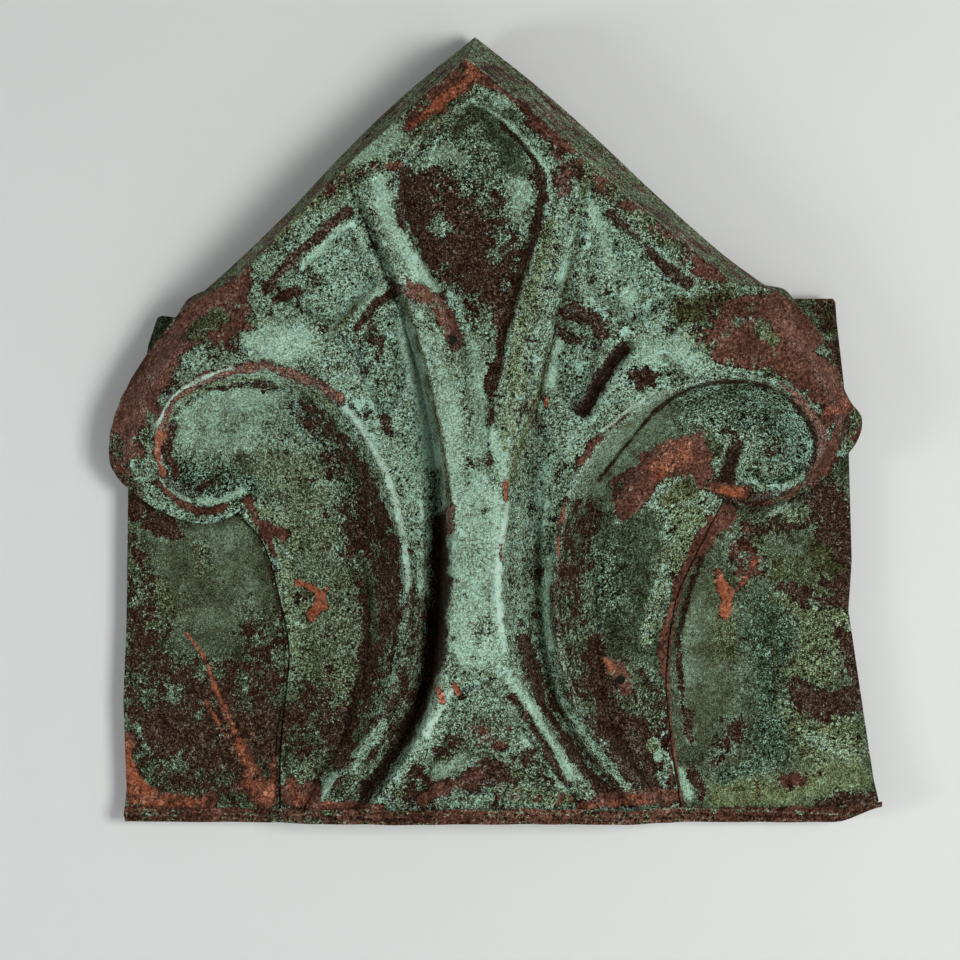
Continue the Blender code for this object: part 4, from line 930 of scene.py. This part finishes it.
def signed(tree, value, gain):
    """A noise value made to swing about zero, with a gain."""
    return math_node(tree, "MULTIPLY", math_node(tree, "SUBTRACT", value, 0.5), gain)


def total(tree, *values):
    """Sum of sockets."""
    out = values[0]
    for value in values[1:]:
        out = math_node(tree, "ADD", out, value)
    return out


def product(tree, *values):
    """Product of sockets and numbers."""
    out = values[0]
    for value in values[1:]:
        out = math_node(tree, "MULTIPLY", out, value)
    return out


def patina_material(name):
    """Verdigris crust over dark copper, steered by the patina attributes of the mesh."""
    made, tree, principled = shader(name)
    place = tree.nodes.new("ShaderNodeTexCoord").outputs["Object"]
    crust_at, light_at, copper_at = attribute(tree, "patina_a")
    bright_at, moss_at, grime_and_shade_at = attribute(tree, "patina_b")
    streak_at, painted_glint_at, flow_at = attribute(tree, "patina_c")
    grain_at, pale_at, teal_at = attribute(tree, "patina_d")
    broad = noise(tree, place, 30, 4, 0.6)
    middle = noise(tree, place, 95, 8, 0.68, 0.4)
    other = noise(tree, place, 170, 7, 0.70, 0.6)
    fine = noise(tree, place, 640, 4, 0.7, 0.5)
    grit = noise(tree, place, 1200, 3, 0.75)
    split = tree.nodes.new("ShaderNodeSeparateXYZ")
    link(tree, place, split.inputs[0])
    along = tree.nodes.new("ShaderNodeCombineXYZ")
    link(tree, math_node(tree, "MULTIPLY", flow_at, 1.3), along.inputs[0])
    link(tree, math_node(tree, "MULTIPLY", split.outputs[2], 55.0), along.inputs[1])
    streaks = signed(tree, noise(tree, along.outputs[0], 1.0, 4, 0.65), 2.4)
    streaks = math_node(tree, "MULTIPLY", streaks, streak_at)

    # where the crust still holds
    cover = total(tree, crust_at, signed(tree, middle, 2.3), signed(tree, fine, 0.9),
                  signed(tree, grit, 0.6),
                  product(tree, streaks, 0.60), product(tree, grime_and_shade_at, -0.30))
    crust = ramp(tree, cover, 0.465, 0.52)

    # crust colour, dark to pale
    swing = total(tree, signed(tree, other, 1.7), signed(tree, fine, 1.6), signed(tree, grit, 3.2))
    shade = total(tree, light_at, signed(tree, broad, 0.35), product(tree, swing, grain_at),
                  product(tree, streaks, 0.20))
    green = colour_ramp(tree, shade, CRUST_STOPS)
    green = mix(tree, math_node(tree, "MULTIPLY", moss_at, 1.0, True), green,
                colour_ramp(tree, shade, MOSS_STOPS))
    green = mix(tree, math_node(tree, "MULTIPLY", teal_at, 1.0, True), green,
                colour_ramp(tree, shade, TEAL_STOPS))

    # metal colour, from maroon oxide through brown to bright copper
    mottle = total(tree, middle, signed(tree, other, 1.2), signed(tree, fine, 1.8), signed(tree, grit, 2.8),
                   product(tree, streaks, 0.25))
    oxide = colour_ramp(tree, mottle, OXIDE_STOPS)
    wear = ramp(tree, total(tree, copper_at, signed(tree, other, 1.5), signed(tree, fine, 0.6),
                            product(tree, streaks, 0.3)), 0.42, 0.58)
    shine = ramp(tree, total(tree, bright_at, signed(tree, other, 1.4), signed(tree, grit, 0.7)), 0.40,
                 0.56)
    rubbed = total(tree, middle, signed(tree, broad, 0.9), signed(tree, other, 1.5),
                   signed(tree, fine, 1.6),
                   signed(tree, grit, 1.4), product(tree, streaks, 0.25))
    copper = mix(tree, shine, colour_ramp(tree, rubbed, BROWN_STOPS),
                 colour_ramp(tree, rubbed, COPPER_STOPS))
    metal = mix(tree, math_node(tree, "MAXIMUM", wear, shine), oxide, copper)

    # bright copper breaks through the crust, pits and cracks cut it, pale flecks and painted highlight glints
    # lie on top, and painted shade with grime darkens it last
    held = product(tree, crust, math_node(tree, "SUBTRACT", 1.0, shine))
    colour = mix(tree, held, metal, green)
    bent = tree.nodes.new("ShaderNodeVectorMath")
    bent.operation = "MULTIPLY_ADD"
    link(tree, fine, bent.inputs[0])
    bent.inputs[1].default_value = (0.0035, 0.0035, 0.0035)
    link(tree, place, bent.inputs[2])
    cracks = ramp(tree, voronoi(tree, bent.outputs[0], 250, "DISTANCE_TO_EDGE"), 0.05, 0.15)
    cracks = product(tree, math_node(tree, "SUBTRACT", 1.0, cracks), ramp(tree, other, 0.50, 0.55),
                     grain_at, 0.80)
    colour = mix(tree, math_node(tree, "MULTIPLY", cracks, 1.0, True), colour, GRIME_AND_SHADE)
    pits = ramp(tree, voronoi(tree, bent.outputs[0], 370), 0.28, 0.44)
    pits = product(tree, math_node(tree, "SUBTRACT", 1.0, pits), ramp(tree, middle, 0.46, 0.54), grain_at,
                   0.90)
    colour = mix(tree, math_node(tree, "MULTIPLY", pits, 1.0, True), colour, GRIME_AND_SHADE)
    fleck = ramp(tree, total(tree, pale_at, signed(tree, other, 2.2), signed(tree, grit, 1.2),
                             product(tree, streaks, 0.4)), 0.54, 0.60)
    colour = mix(tree, product(tree, fleck, 0.85), colour, FLECK)
    # painted highlight: whitish glints laid into the colour on crests, beads and rims
    glint = product(tree, ramp(tree, total(tree, grit, signed(tree, fine, 0.6)), 0.52, 0.58), painted_glint_at, 0.9)
    colour = mix(tree, glint, colour, GLINT)
    # painted shade and grime of the hollows, laps and wing edges, laid into the colour
    colour = mix(tree, math_node(tree, "MULTIPLY", grime_and_shade_at, 0.8, True), colour, GRIME_AND_SHADE)
    link(tree, colour, principled.inputs["Base Color"])

    rough = math_node(tree, "SUBTRACT", math_node(tree, "ADD", 0.55, product(tree, held, 0.32)),
                      product(tree, shine, 0.10))
    link(tree, rough, principled.inputs["Roughness"])
    link(tree, product(tree, math_node(tree, "SUBTRACT", 1.0, held), wear, 0.30),
         principled.inputs["Metallic"])
    principled.inputs["Specular IOR Level"].default_value = 0.06

    height = total(tree, product(tree, held, 0.5), product(tree, fleck, 0.5), product(tree, fine, 1.4),
                   product(tree, grit, 0.6), product(tree, other, 1.2), product(tree, streaks, 0.25))
    bump = tree.nodes.new("ShaderNodeBump")
    bump.inputs["Strength"].default_value = 0.8
    bump.inputs["Distance"].default_value = 0.0014
    link(tree, height, bump.inputs["Height"])
    link(tree, bump.outputs["Normal"], principled.inputs["Normal"])
    return made


def iron_material():
    """Dark rusted iron of the strap and strap rivets."""
    made, tree, principled = shader("rusted_iron")
    place = tree.nodes.new("ShaderNodeTexCoord").outputs["Object"]
    middle = noise(tree, place, 160, 6, 0.7)
    fine = noise(tree, place, 900, 4, 0.7)
    rust = ramp(tree, middle, 0.42, 0.62)
    colour = mix(tree, rust, (0.030, 0.024, 0.021), (0.115, 0.042, 0.020))
    colour = mix(tree, ramp(tree, fine, 0.58, 0.75), colour, (0.21, 0.085, 0.038))
    link(tree, colour, principled.inputs["Base Color"])
    link(tree, ramp(tree, rust, -1.2, 1.2), principled.inputs["Roughness"])
    principled.inputs["Metallic"].default_value = 0.4
    bump = tree.nodes.new("ShaderNodeBump")
    bump.inputs["Strength"].default_value = 0.5
    bump.inputs["Distance"].default_value = 0.0005
    link(tree, math_node(tree, "ADD", middle, fine), bump.inputs["Height"])
    link(tree, bump.outputs["Normal"], principled.inputs["Normal"])
    return made


def plain_material(name, colour, roughness):
    """Matt material of the wall and floor."""
    made, tree, principled = shader(name)
    principled.inputs["Base Color"].default_value = (*colour, 1.0)
    principled.inputs["Roughness"].default_value = roughness
    return made, tree, principled


PATINA = patina_material("verdigris_copper")
IRON = iron_material()


# ---------------------------------------------------------------- meshes
def join(*lines):
    """One closed outline from lines that follow each other, without doubled points."""
    out = []
    for line in lines:
        for point in np.array(line, float)[:, :2]:
            if not out or np.linalg.norm(point - out[-1]) > 0.2:
                out.append(point)
    if np.linalg.norm(out[0] - out[-1]) < 0.2:
        out.pop()
    return np.array(out)


def moved(line, sideways):
    """An open line moved to its left (or right, if negative), its ends held."""
    p = np.array(line, float)[:, :2]
    run = np.gradient(p, axis=0)
    run /= np.linalg.norm(run, axis=1)[:, None]
    count = np.arange(len(p))
    share = np.minimum(np.minimum(count, count[::-1]) / 4.0, 1.0)
    return p + np.stack([-run[:, 1], run[:, 0]], axis=1) * (sideways * share)[:, None]


def circle(x, z, radius, count=24):
    turn = np.linspace(0, 2 * math.pi, count, endpoint=False)
    return np.stack([x + radius * np.cos(turn), z + radius * np.sin(turn)], axis=1)


def nearest_on(loops, points):
    """The nearest point of some closed outlines to each point."""
    best = np.full(len(points), 1e9)
    out = points.copy()
    for loop in loops:
        for a, b in zip(loop, np.roll(loop, -1, axis=0)):
            run = b - a
            t = np.clip(((points - a) @ run) / max(run @ run, 1e-12), 0, 1)
            foot = a + t[:, None] * run
            away = np.sum((points - foot) ** 2, axis=1)
            closer = away < best
            best[closer] = away[closer]
            out[closer] = foot[closer]
    return out


def fill(loops, step):
    """Square mesh inside an outline with holes, its border drawn onto the outline."""
    low = loops[0].min(axis=0)
    high = loops[0].max(axis=0)
    xs = np.arange(low[0] - step, high[0] + 2 * step, step)
    zs = np.arange(low[1] - step, high[1] + 2 * step, step)
    inside = np.zeros((len(zs), len(xs)), bool)
    for loop in loops:
        for a, b in zip(loop, np.roll(loop, -1, axis=0)):
            if a[1] == b[1]:
                continue
            rows = np.nonzero((zs >= min(a[1], b[1])) & (zs < max(a[1], b[1])))[0]
            for row in rows:
                cross = a[0] + (zs[row] - a[1]) * (b[0] - a[0]) / (b[1] - a[1])
                inside[row] ^= xs > cross
    cells = inside[:-1, :-1] & inside[1:, :-1] & inside[:-1, 1:] & inside[1:, 1:]
    around = np.zeros(inside.shape, int)
    for dr in (0, 1):
        for dc in (0, 1):
            around[dr:dr + cells.shape[0], dc:dc + cells.shape[1]] += cells
    used = around > 0
    index = np.full(inside.shape, -1)
    index[used] = np.arange(used.sum())
    gx, gz = np.meshgrid(xs, zs)
    points = np.stack([gx[used], gz[used]], axis=1)
    border = around[used] < 4
    points[border] = nearest_on(loops, points[border])
    r, c = np.nonzero(cells)
    quads = np.stack([index[r, c], index[r, c + 1], index[r + 1, c + 1], index[r + 1, c]], axis=1)
    return points, quads


def closed_sheet(front, quads, thick):
    """Points and faces of a sheet with a back, from its front points and faces."""
    count = len(front)
    back = front + np.array([0.0, thick, 0.0])
    edges = {}
    for quad in quads.tolist():
        for k in range(4):
            edges[(quad[k], quad[(k + 1) % 4])] = True
    sides = [(b, a, count + a, count + b) for a, b in edges if (b, a) not in edges]
    faces = quads.tolist() + (quads[:, ::-1] + count).tolist() + sides
    return np.vstack([front, back]), faces


def mesh_object(name, points, faces, material, replaced, patina=None, sharp=50):
    """A piece of the object from points in millimetres, riding on the one body."""
    mesh = bpy.data.meshes.new(name)
    mesh.from_pydata((points * MM).tolist(), [], faces)
    mesh.validate()
    mesh.shade_smooth()
    mesh.set_sharp_from_angle(angle=math.radians(sharp))
    mesh.materials.append(material)
    if patina is not None:
        for key, triple in patina.items():
            layer = mesh.attributes.new(key, "FLOAT_VECTOR", "POINT")
            layer.data.foreach_set("vector", np.ascontiguousarray(triple, np.float32).ravel())
    made = bpy.data.objects.new(name, mesh)
    bpy.context.scene.collection.objects.link(made)
    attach(made, "root")
    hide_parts(*replaced)
    return made


def packed(value, flow):
    """The patina numbers of a mesh's points, three to an attribute."""
    return {
        "patina_a": np.stack([value["crust"], value["light"], value["copper"]], axis=1),
        "patina_b": np.stack([value["bright"], value["moss"], value["grime_and_shade"]], axis=1),
        "patina_c": np.stack([value["streak"], value["painted_glint"], flow], axis=1),
        "patina_d": np.stack([value["grain"], value["pale"], value["teal"]], axis=1),
    }


def patina_of(maps, flow, x, z):
    """The patina attributes at points of the face."""
    return packed({name: sample(maps[name], x, z) for name in CHANNELS}, sample(flow, x, z))


def pressed_piece(name, loop, holes=(), laps=()):
    """A pressed sheet that follows the relief inside an outline, lifted along its laps."""
    loops = [loop] + [circle(*hole) for hole in holes]
    flat, quads = fill(loops, STEP)
    x, z = flat[:, 0], flat[:, 1]
    height = sample(RELIEF, x, z)
    for line, rise in laps:
        height += rise * smoothstep(7.0, 1.5, sample(distance([line], 10), x, z))
    front = np.stack([x, -height, z], axis=1)
    points, faces = closed_sheet(front, quads, SHEET)
    patina = patina_of(FACE_MAPS, FACE_FLOW, points[:, 0], points[:, 2])
    return mesh_object(name, points, faces, PATINA, [name], patina)


def wing_piece(name, loop, holes=()):
    """A flat sheet with slight waves."""
    loops = [loop] + [circle(*hole) for hole in holes]
    flat, quads = fill(loops, STEP * 1.4)
    x, z = flat[:, 0], flat[:, 1]
    wave = sample(WAVES, x, z)
    curl = 5.0 * smoothstep(205, 245, x) * smoothstep(70, 0, z)
    front = np.stack([x, -(WING + 0.25 * wave + curl), z], axis=1)
    points, faces = closed_sheet(front, quads, WING)
    patina = patina_of(WING_MAPS, WING_FLOW, points[:, 0], points[:, 2])
    return mesh_object(name, points, faces, PATINA, [name], patina)


def tinted(points, finish, flow, seams=None):
    """One finish all over a piece, darkened along its seams."""
    value = {name: np.full(len(points), FINISHES[finish].get(name, 0.0)) for name in CHANNELS}
    if seams is not None:
        value["grime_and_shade"] = np.maximum(value["grime_and_shade"], seams)
    return packed(value, flow)


def ribbon(name, front_line, back_line, across, thick, finish, seed, laps=()):
    """A bent strip between two lines in space, dented, with laps at given shares of its width."""
    count = len(front_line)
    random = np.random.RandomState(seed)
    t = np.linspace(0, 1, across)
    outer = front_line[:, None, :] * (1 - t)[None, :, None] + back_line[:, None, :] * t[None, :, None]
    normal = np.cross(np.gradient(front_line, axis=0), back_line - front_line)
    normal /= np.linalg.norm(normal, axis=1)[:, None]
    away = front_line - np.array([0.0, 0.0, 230.0])
    normal *= np.sign(np.sum(normal * away, axis=1))[:, None]
    run = np.linspace(0, 1, count)
    ripple = np.zeros((count, across))
    for wave in range(6):
        phase = random.uniform(0, 6.28, 2)
        ripple += 0.26 * np.outer(np.sin(run * (5 + 9 * wave) + phase[0]),
                                  np.sin(t * (2 + 2.5 * wave) + phase[1]))
    ripple *= np.sin(np.pi * t)[None] ** 0.5
    seams = np.zeros((count, across))
    for share, step in laps:
        wobble = share + 0.025 * np.sin(run * 9 + random.uniform(0,
                                                                 6)) + 0.012 * np.sin(run * 41 + share * 60)
        past = t[None] - wobble[:, None]
        ripple += step * (t[None] - smoothstep(-0.025, 0.025, past))
        seams = np.maximum(seams, 0.75 * np.exp(-(past / 0.028) ** 2))
    outer = outer + ripple[:, :, None] * normal[:, None, :]
    inner = outer - normal[:, None, :] * thick
    points = np.vstack([outer.reshape(-1, 3), inner.reshape(-1, 3)])
    size = count * across
    faces = []
    for i in range(count - 1):
        for j in range(across - 1):
            a = i * across + j
            faces.append((a, a + 1, a + across + 1, a + across))
            faces.append((size + a, size + a + across, size + a + across + 1, size + a + 1))
    for i in range(count - 1):
        for a, b in ((i * across, (i + 1) * across), ((i + 1) * across + across - 1,
                                                      i * across + across - 1)):
            faces.append((a, b, size + b, size + a))
    for j in range(across - 1):
        for a, b in ((j + 1, j), ((count - 1) * across + j, (count - 1) * across + j + 1)):
            faces.append((a, b, size + b, size + a))
    flow = np.tile(np.tile(t * 13.0, count), 2)
    patina = tinted(points, finish, flow, np.tile(seams.ravel(), 2))
    return mesh_object(name, points, faces, PATINA, [name], patina)


# ---------------------------------------------------------------- pieces
FINE = 1.0
gable_l = spline(GABLE_L, FINE)
gable_r = spline(GABLE_R, FINE)
edge_l = spline(EDGE_L, FINE)
edge_r = spline(EDGE_R, FINE)
groove_l = spline(GROOVE_L, FINE)
groove_r = spline(GROOVE_R, FINE)
inner_l = np.vstack([spline(RIDGE_L, FINE), spline(CREASE_L, FINE)])
inner_r = np.vstack([spline(RIDGE_R, FINE), spline(CREASE_R, FINE)])
seam_l = spline(SEAM_L, FINE)
seam_r = spline(SEAM_R, FINE)
gusset_l = spline(GUSSET_L, FINE)
gusset_r = spline(GUSSET_R, FINE)


def at(line, point):
    """Index of the sample that lies on a named point of a line."""
    return int(np.argmin(np.hypot(line[:, 0] - point[0], line[:, 1] - point[1])))


split_gl = at(gable_l, GROOVE_L[0])
split_gr = at(gable_r, GROOVE_R[0])
split_el = at(edge_l, SEAM_L[0])
split_er = at(edge_r, SEAM_R[0])


def build_pressings():
    """Stalk over scrolls and gusset, leaves over the scrolls."""
    hole_x, hole_z = SEATS["hole_stalk"][:2]
    pressed_piece("palmette_stalk",
                  join(gable_l[:split_gl + 1], moved(groove_l, -1.4), moved(gusset_l, 0.9)[::-1],
                       moved(gusset_r, -0.9), moved(groove_r, 0.9)[::-1], gable_r[:split_gr + 1][::-1]),
                  [(hole_x, hole_z, 2.3)],
                  [(GROOVE_L, 1.9), (GROOVE_R, 1.1), (GUSSET_L[1:], 1.2), (GUSSET_R[1:], 1.4)])
    pressed_piece("foot_gusset", join(gusset_l, gusset_r[::-1]))
    pressed_piece("scroll_left", join(gable_l[split_gl:], edge_l, inner_l, groove_l[::-1]))
    pressed_piece("scroll_right", join(gable_r[split_gr:], edge_r, inner_r, groove_r[::-1]))
    pressed_piece("leaf_left", join(seam_l[::-1], edge_l[split_el:], moved(inner_l, 0.9)),
                  laps=[(RIDGE_L[2:], 0.3), (CREASE_L[1:], 1.3)])
    hole_x, hole_z = SEATS["hole_leaf_right"][:2]
    pressed_piece("leaf_right", join(seam_r[::-1], edge_r[split_er:], moved(inner_r, -0.9)),
                  [(hole_x, hole_z, 2.7)], [(RIDGE_R[2:], 0.3), (CREASE_R[1:], 1.1)])


def build_wings():
    wing_piece("wing_left", join(straight(WING_OUT_L, 2), straight(WING_IN_L, 2)))
    wing_piece("wing_right", join(straight(WING_OUT_R, 2), straight(WING_IN_R, 2)))


def build_returns():
    """Lapped strips that fold back from the gable and round the shoulders."""
    for side, sign, line, back in (("left", -1.0, gable_l, RAKE_BACK_L),
                                   ("right", 1.0, gable_r, RAKE_BACK_R)):
        face = evenly(line, 260)
        edge = evenly(spline(back, FINE), 260)
        front = np.stack([face[:, 0] + sign * 0.3, -(face[:, 2] - 0.3), face[:, 1] + 0.3], axis=1)
        rear = np.stack([edge[:, 0], np.zeros(260), edge[:, 1]], axis=1)
        ribbon("rake_return_" + side, front, rear, 60, 0.9, "folded", 5 if side == "left" else 6,
               ((0.16, 0.5), (0.52, 0.8), (0.80, 0.7)))
    for side, sign, line, low, back in (("left", -1.0, edge_l, EDGE_L[6], RAKE_BACK_L),
                                        ("right", 1.0, edge_r, EDGE_R[7], RAKE_BACK_R)):
        face = evenly(line[:at(line, low) + 1], 170)
        front = np.stack([face[:, 0], -(face[:, 2] - 0.5), face[:, 1]], axis=1)
        rear = np.stack([face[:, 0] + sign * 0.8, np.full(170, -WING - 0.3), face[:, 1]], axis=1)
        corner = np.array([back[-1][0], 0.0, back[-1][1]]) - rear[0]
        rear += corner * smoothstep(0.30, 0.0, np.linspace(0, 1, 170))[:, None]
        ribbon("shoulder_return_" + side, front, rear, 24, 0.9, "brown_green", 7 if side == "left" else 8,
               ((0.45, 0.5),))


def build_base():
    """Ledge and lip along the foot, a little wavy and turned up at its right end."""
    count = 420
    line = evenly(spline([(x, y, 0) for x, y in LEDGE_FRONT], 2.0), count)
    x, depth = line[:, 0], np.maximum(line[:, 1], 3.0)
    random = np.random.RandomState(11)
    wave = np.zeros(count)
    for k in range(7):
        wave += 0.32 * np.sin(x * (0.02 + 0.04 * k) + random.uniform(0, 6.28)) / (1 + 0.3 * k)
    turned_up = 10.0 * smoothstep(212, 244, x) + 0.5 * wave
    low = np.maximum(turned_up - 0.5 * wave.min(), 0.0) * 0.9
    top = low + 8.6 + 1.1 * wave - 6.0 * smoothstep(212, 242, x)
    rows = [np.stack([x, -depth - 0.6 * wave * k / 7, low + (top - low) * k / 7], axis=1) for k in range(8)]
    rows.append(np.stack([x, -depth + 0.9, top], axis=1))
    rows.append(np.stack([x, -depth + 0.9, low + 0.9], axis=1))
    rows.append(np.stack([x, np.full(count, BACK), low + 0.9], axis=1))
    rows.append(np.stack([x, np.full(count, BACK), low], axis=1))
    size = len(rows)
    points = np.stack(rows, axis=1).reshape(-1, 3)
    faces = []
    for i in range(count - 1):
        for j in range(size):
            a, b = i * size + j, i * size + (j + 1) % size
            faces.append((a, a + size, b + size, b))
    faces.append(tuple(range(size)))
    faces.append(tuple(reversed(range((count - 1) * size, count * size))))
    seams = 0.6 * np.exp(-((points[:, 2] - 3.6) / 0.8) ** 2)
    mesh_object("base_flange", points, faces, PATINA, ["base_flange"],
                tinted(points, "hem", points[:, 2] * 0.45 + points[:, 0] * 0.02, seams), 40)


def build_beads():
    """Soldered laps along the seams."""
    for side, line, sign in (("left", seam_l, -1.0), ("right", seam_r, 1.0)):
        run = evenly(line, 170)[2:]
        random = np.random.RandomState(15 if side == "left" else 16)
        lump = np.interp(np.arange(len(run)), np.arange(0, len(run) + 12, 6),
                         random.uniform(0.4, 1.1, len(range(0, len(run) + 12, 6))))
        rows = []
        for turn in np.linspace(0, 2 * math.pi, 10, endpoint=False):
            rows.append(np.stack([run[:, 0] + sign * (1.7 + 1.3 * lump * np.cos(turn)),
                                  -(2.0 + 0.9 * lump * np.sin(turn)), run[:, 1]], axis=1))
        points = np.stack(rows, axis=1).reshape(-1, 3)
        count = len(run)
        faces = []
        for i in range(count - 1):
            for j in range(10):
                a, b = i * 10 + j, i * 10 + (j + 1) % 10
                faces.append((a, b, b + 10, a + 10))
        faces.append(tuple(reversed(range(10))))
        faces.append(tuple(range((count - 1) * 10, count * 10)))
        finish = "brown_red" if side == "right" else "speckled_dark"
        mesh_object("seam_bead_" + side, points, faces, PATINA, ["seam_bead_" + side],
                    tinted(points, finish, points[:, 2]), 40)


def lathe(name, profile, x, z, finish, sides=28):
    """A fixing turned from (radius, depth) points, tip to tip, square to the sheet it sits in."""
    slope_x = sample(RELIEF, np.array([x + 3.0]), np.array([z])) - sample(RELIEF, np.array([x - 3.0]),
                                                                          np.array([z]))
    slope_z = sample(RELIEF, np.array([x]), np.array([z + 3.0])) - sample(RELIEF, np.array([x]),
                                                                          np.array([z - 3.0]))
    depth_axis = np.array([0.6 * slope_x[0] / 6.0, 1.0, 0.6 * slope_z[0] / 6.0])
    depth_axis /= np.linalg.norm(depth_axis)
    across = np.cross(depth_axis, [0.0, 0.0, 1.0])
    across /= np.linalg.norm(across)
    upward = np.cross(across, depth_axis)
    rings = []
    points = [profile[0][1] * depth_axis]
    for radius, depth in profile[1:-1]:
        rings.append(len(points))
        for k in range(sides):
            angle = 2 * math.pi * k / sides
            points.append(radius * (math.cos(angle) * across + math.sin(angle) * upward) + depth * depth_axis)
    points.append(profile[-1][1] * depth_axis)
    faces = []
    for k in range(sides):
        after = (k + 1) % sides
        faces.append((0, rings[0] + after, rings[0] + k))
        for low, high in zip(rings[:-1], rings[1:]):
            faces.append((low + k, low + after, high + after, high + k))
        faces.append((rings[-1] + k, rings[-1] + after, len(points) - 1))
    height = sample(RELIEF, np.array([float(x)]), np.array([float(z)]))[0]
    placed = np.array(points) + np.array([x, -height, z])
    return mesh_object(name, placed, faces, PATINA, [name], tinted(placed, finish, placed[:, 2]), 40)


def build_rivets():
    """Lap rivets with a raised ring and a sunk middle, and the nail in the left leaf."""
    ring = [(0, -0.3), (1.4, -0.35), (2.0, -0.5), (2.7, -0.95), (3.4, -0.85), (4.2, -0.3), (4.2, 0.3),
            (1.8, 0.6),
            (1.8, 3.6), (3.0, 4.2), (2.4, 5.0), (0, 5.2)]
    for name, (x, z) in LAP_RIVETS.items():
        lathe(name, ring, x, z, "lime")
    nail = [(0, -0.8), (0.9, -0.7), (1.6, -0.4), (1.9, 0.0), (1.1, 0.2), (1.1, 6.5), (0.5, 8.0), (0, 8.5)]
    x, z = SEATS["nail_leaf_left"][:2]
    lathe("nail_leaf_left", nail, x, z, "black")


build_pressings()
build_wings()
build_returns()
build_base()
build_beads()
build_rivets()
for node in ("back_strap", "rivet_strap_1", "rivet_strap_2", "rivet_strap_3", "rivet_strap_4"):
    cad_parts[node].data.materials.clear()
    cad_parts[node].data.materials.append(IRON)


# ---------------------------------------------------------------- wall, floor, light and camera
def build_stage():
    """A pale wall behind that curves into a floor well below, clear from behind."""
    wall = BACK + 10.0
    profile = [(wall, 1400.0), (wall, -250.0)]
    for k in range(1, 9):
        turn = math.pi / 2 * k / 8
        profile.append((wall - 200 * (1 - math.cos(turn)), -250 - 200 * math.sin(turn)))
    profile.append((-2600.0, -450.0))
    points = []
    for y, z in profile:
        points += [(-1800.0, y, z), (1800.0, y, z)]
    faces = [(2 * k, 2 * k + 2, 2 * k + 3, 2 * k + 1) for k in range(len(profile) - 1)]
    mesh = bpy.data.meshes.new("backdrop")
    mesh.from_pydata([tuple(np.array(p) * MM) for p in points], [], faces)
    mesh.shade_smooth()
    material, tree, principled = plain_material("pale_wall", (0.72, 0.735, 0.735), 0.9)
    clear = tree.nodes.new("ShaderNodeBsdfTransparent")
    choose = tree.nodes.new("ShaderNodeMixShader")
    facing = tree.nodes.new("ShaderNodeNewGeometry")
    link(tree, facing.outputs["Backfacing"], choose.inputs[0])
    link(tree, principled.outputs[0], choose.inputs[1])
    link(tree, clear.outputs[0], choose.inputs[2])
    link(tree, choose.outputs[0], tree.nodes["Material Output"].inputs["Surface"])
    mesh.materials.append(material)
    principled.inputs["Specular IOR Level"].default_value = 0.1
    backdrop = bpy.data.objects.new("backdrop", mesh)
    bpy.context.scene.collection.objects.link(backdrop)
    backdrop.visible_shadow = False


def soft_light(name, place, target, size, power, colour):
    data = bpy.data.lights.new(name, "AREA")
    data.shape = "RECTANGLE"
    data.size, data.size_y = size
    data.energy = power
    data.color = colour
    made = bpy.data.objects.new(name, data)
    bpy.context.scene.collection.objects.link(made)
    made.location = place
    aim = np.array(target) - np.array(place)
    made.rotation_euler = Vector(aim).to_track_quat("-Z", "Y").to_euler()


def build_light_and_camera():
    scene = bpy.context.scene
    world = bpy.data.worlds.new("studio")
    world.use_nodes = True
    world.node_tree.nodes["Background"].inputs["Color"].default_value = (1.0, 0.99, 0.95, 1.0)
    world.node_tree.nodes["Background"].inputs["Strength"].default_value = 0.14
    scene.world = world
    soft_light("key", (1.15, -1.75, 0.13), (0, 0, 0.22), (0.75, 0.75), 29.5, (1.0, 0.99, 0.97))
    soft_light("fill", (-1.75, -1.0, -0.15), (0, 0, 0.22), (0.6, 0.35), 11.5, (0.97, 0.99, 1.0))
    soft_light("back_fill", (0.4, 2.2, 1.2), (0, 0, 0.2), (1.4, 1.4), 11, (1.0, 1.0, 1.0))
    data = bpy.data.cameras.new("camera")
    data.sensor_width = 36.0
    data.lens = 150.0
    data.clip_end = 20.0
    camera = bpy.data.objects.new("camera", data)
    scene.collection.objects.link(camera)
    camera.location = (0.0, -2.4, 0.2052)
    camera.rotation_euler = (math.pi / 2, 0.0, 0.0)
    scene.camera = camera
    scene.view_settings.view_transform = "Standard"


build_stage()
build_light_and_camera()
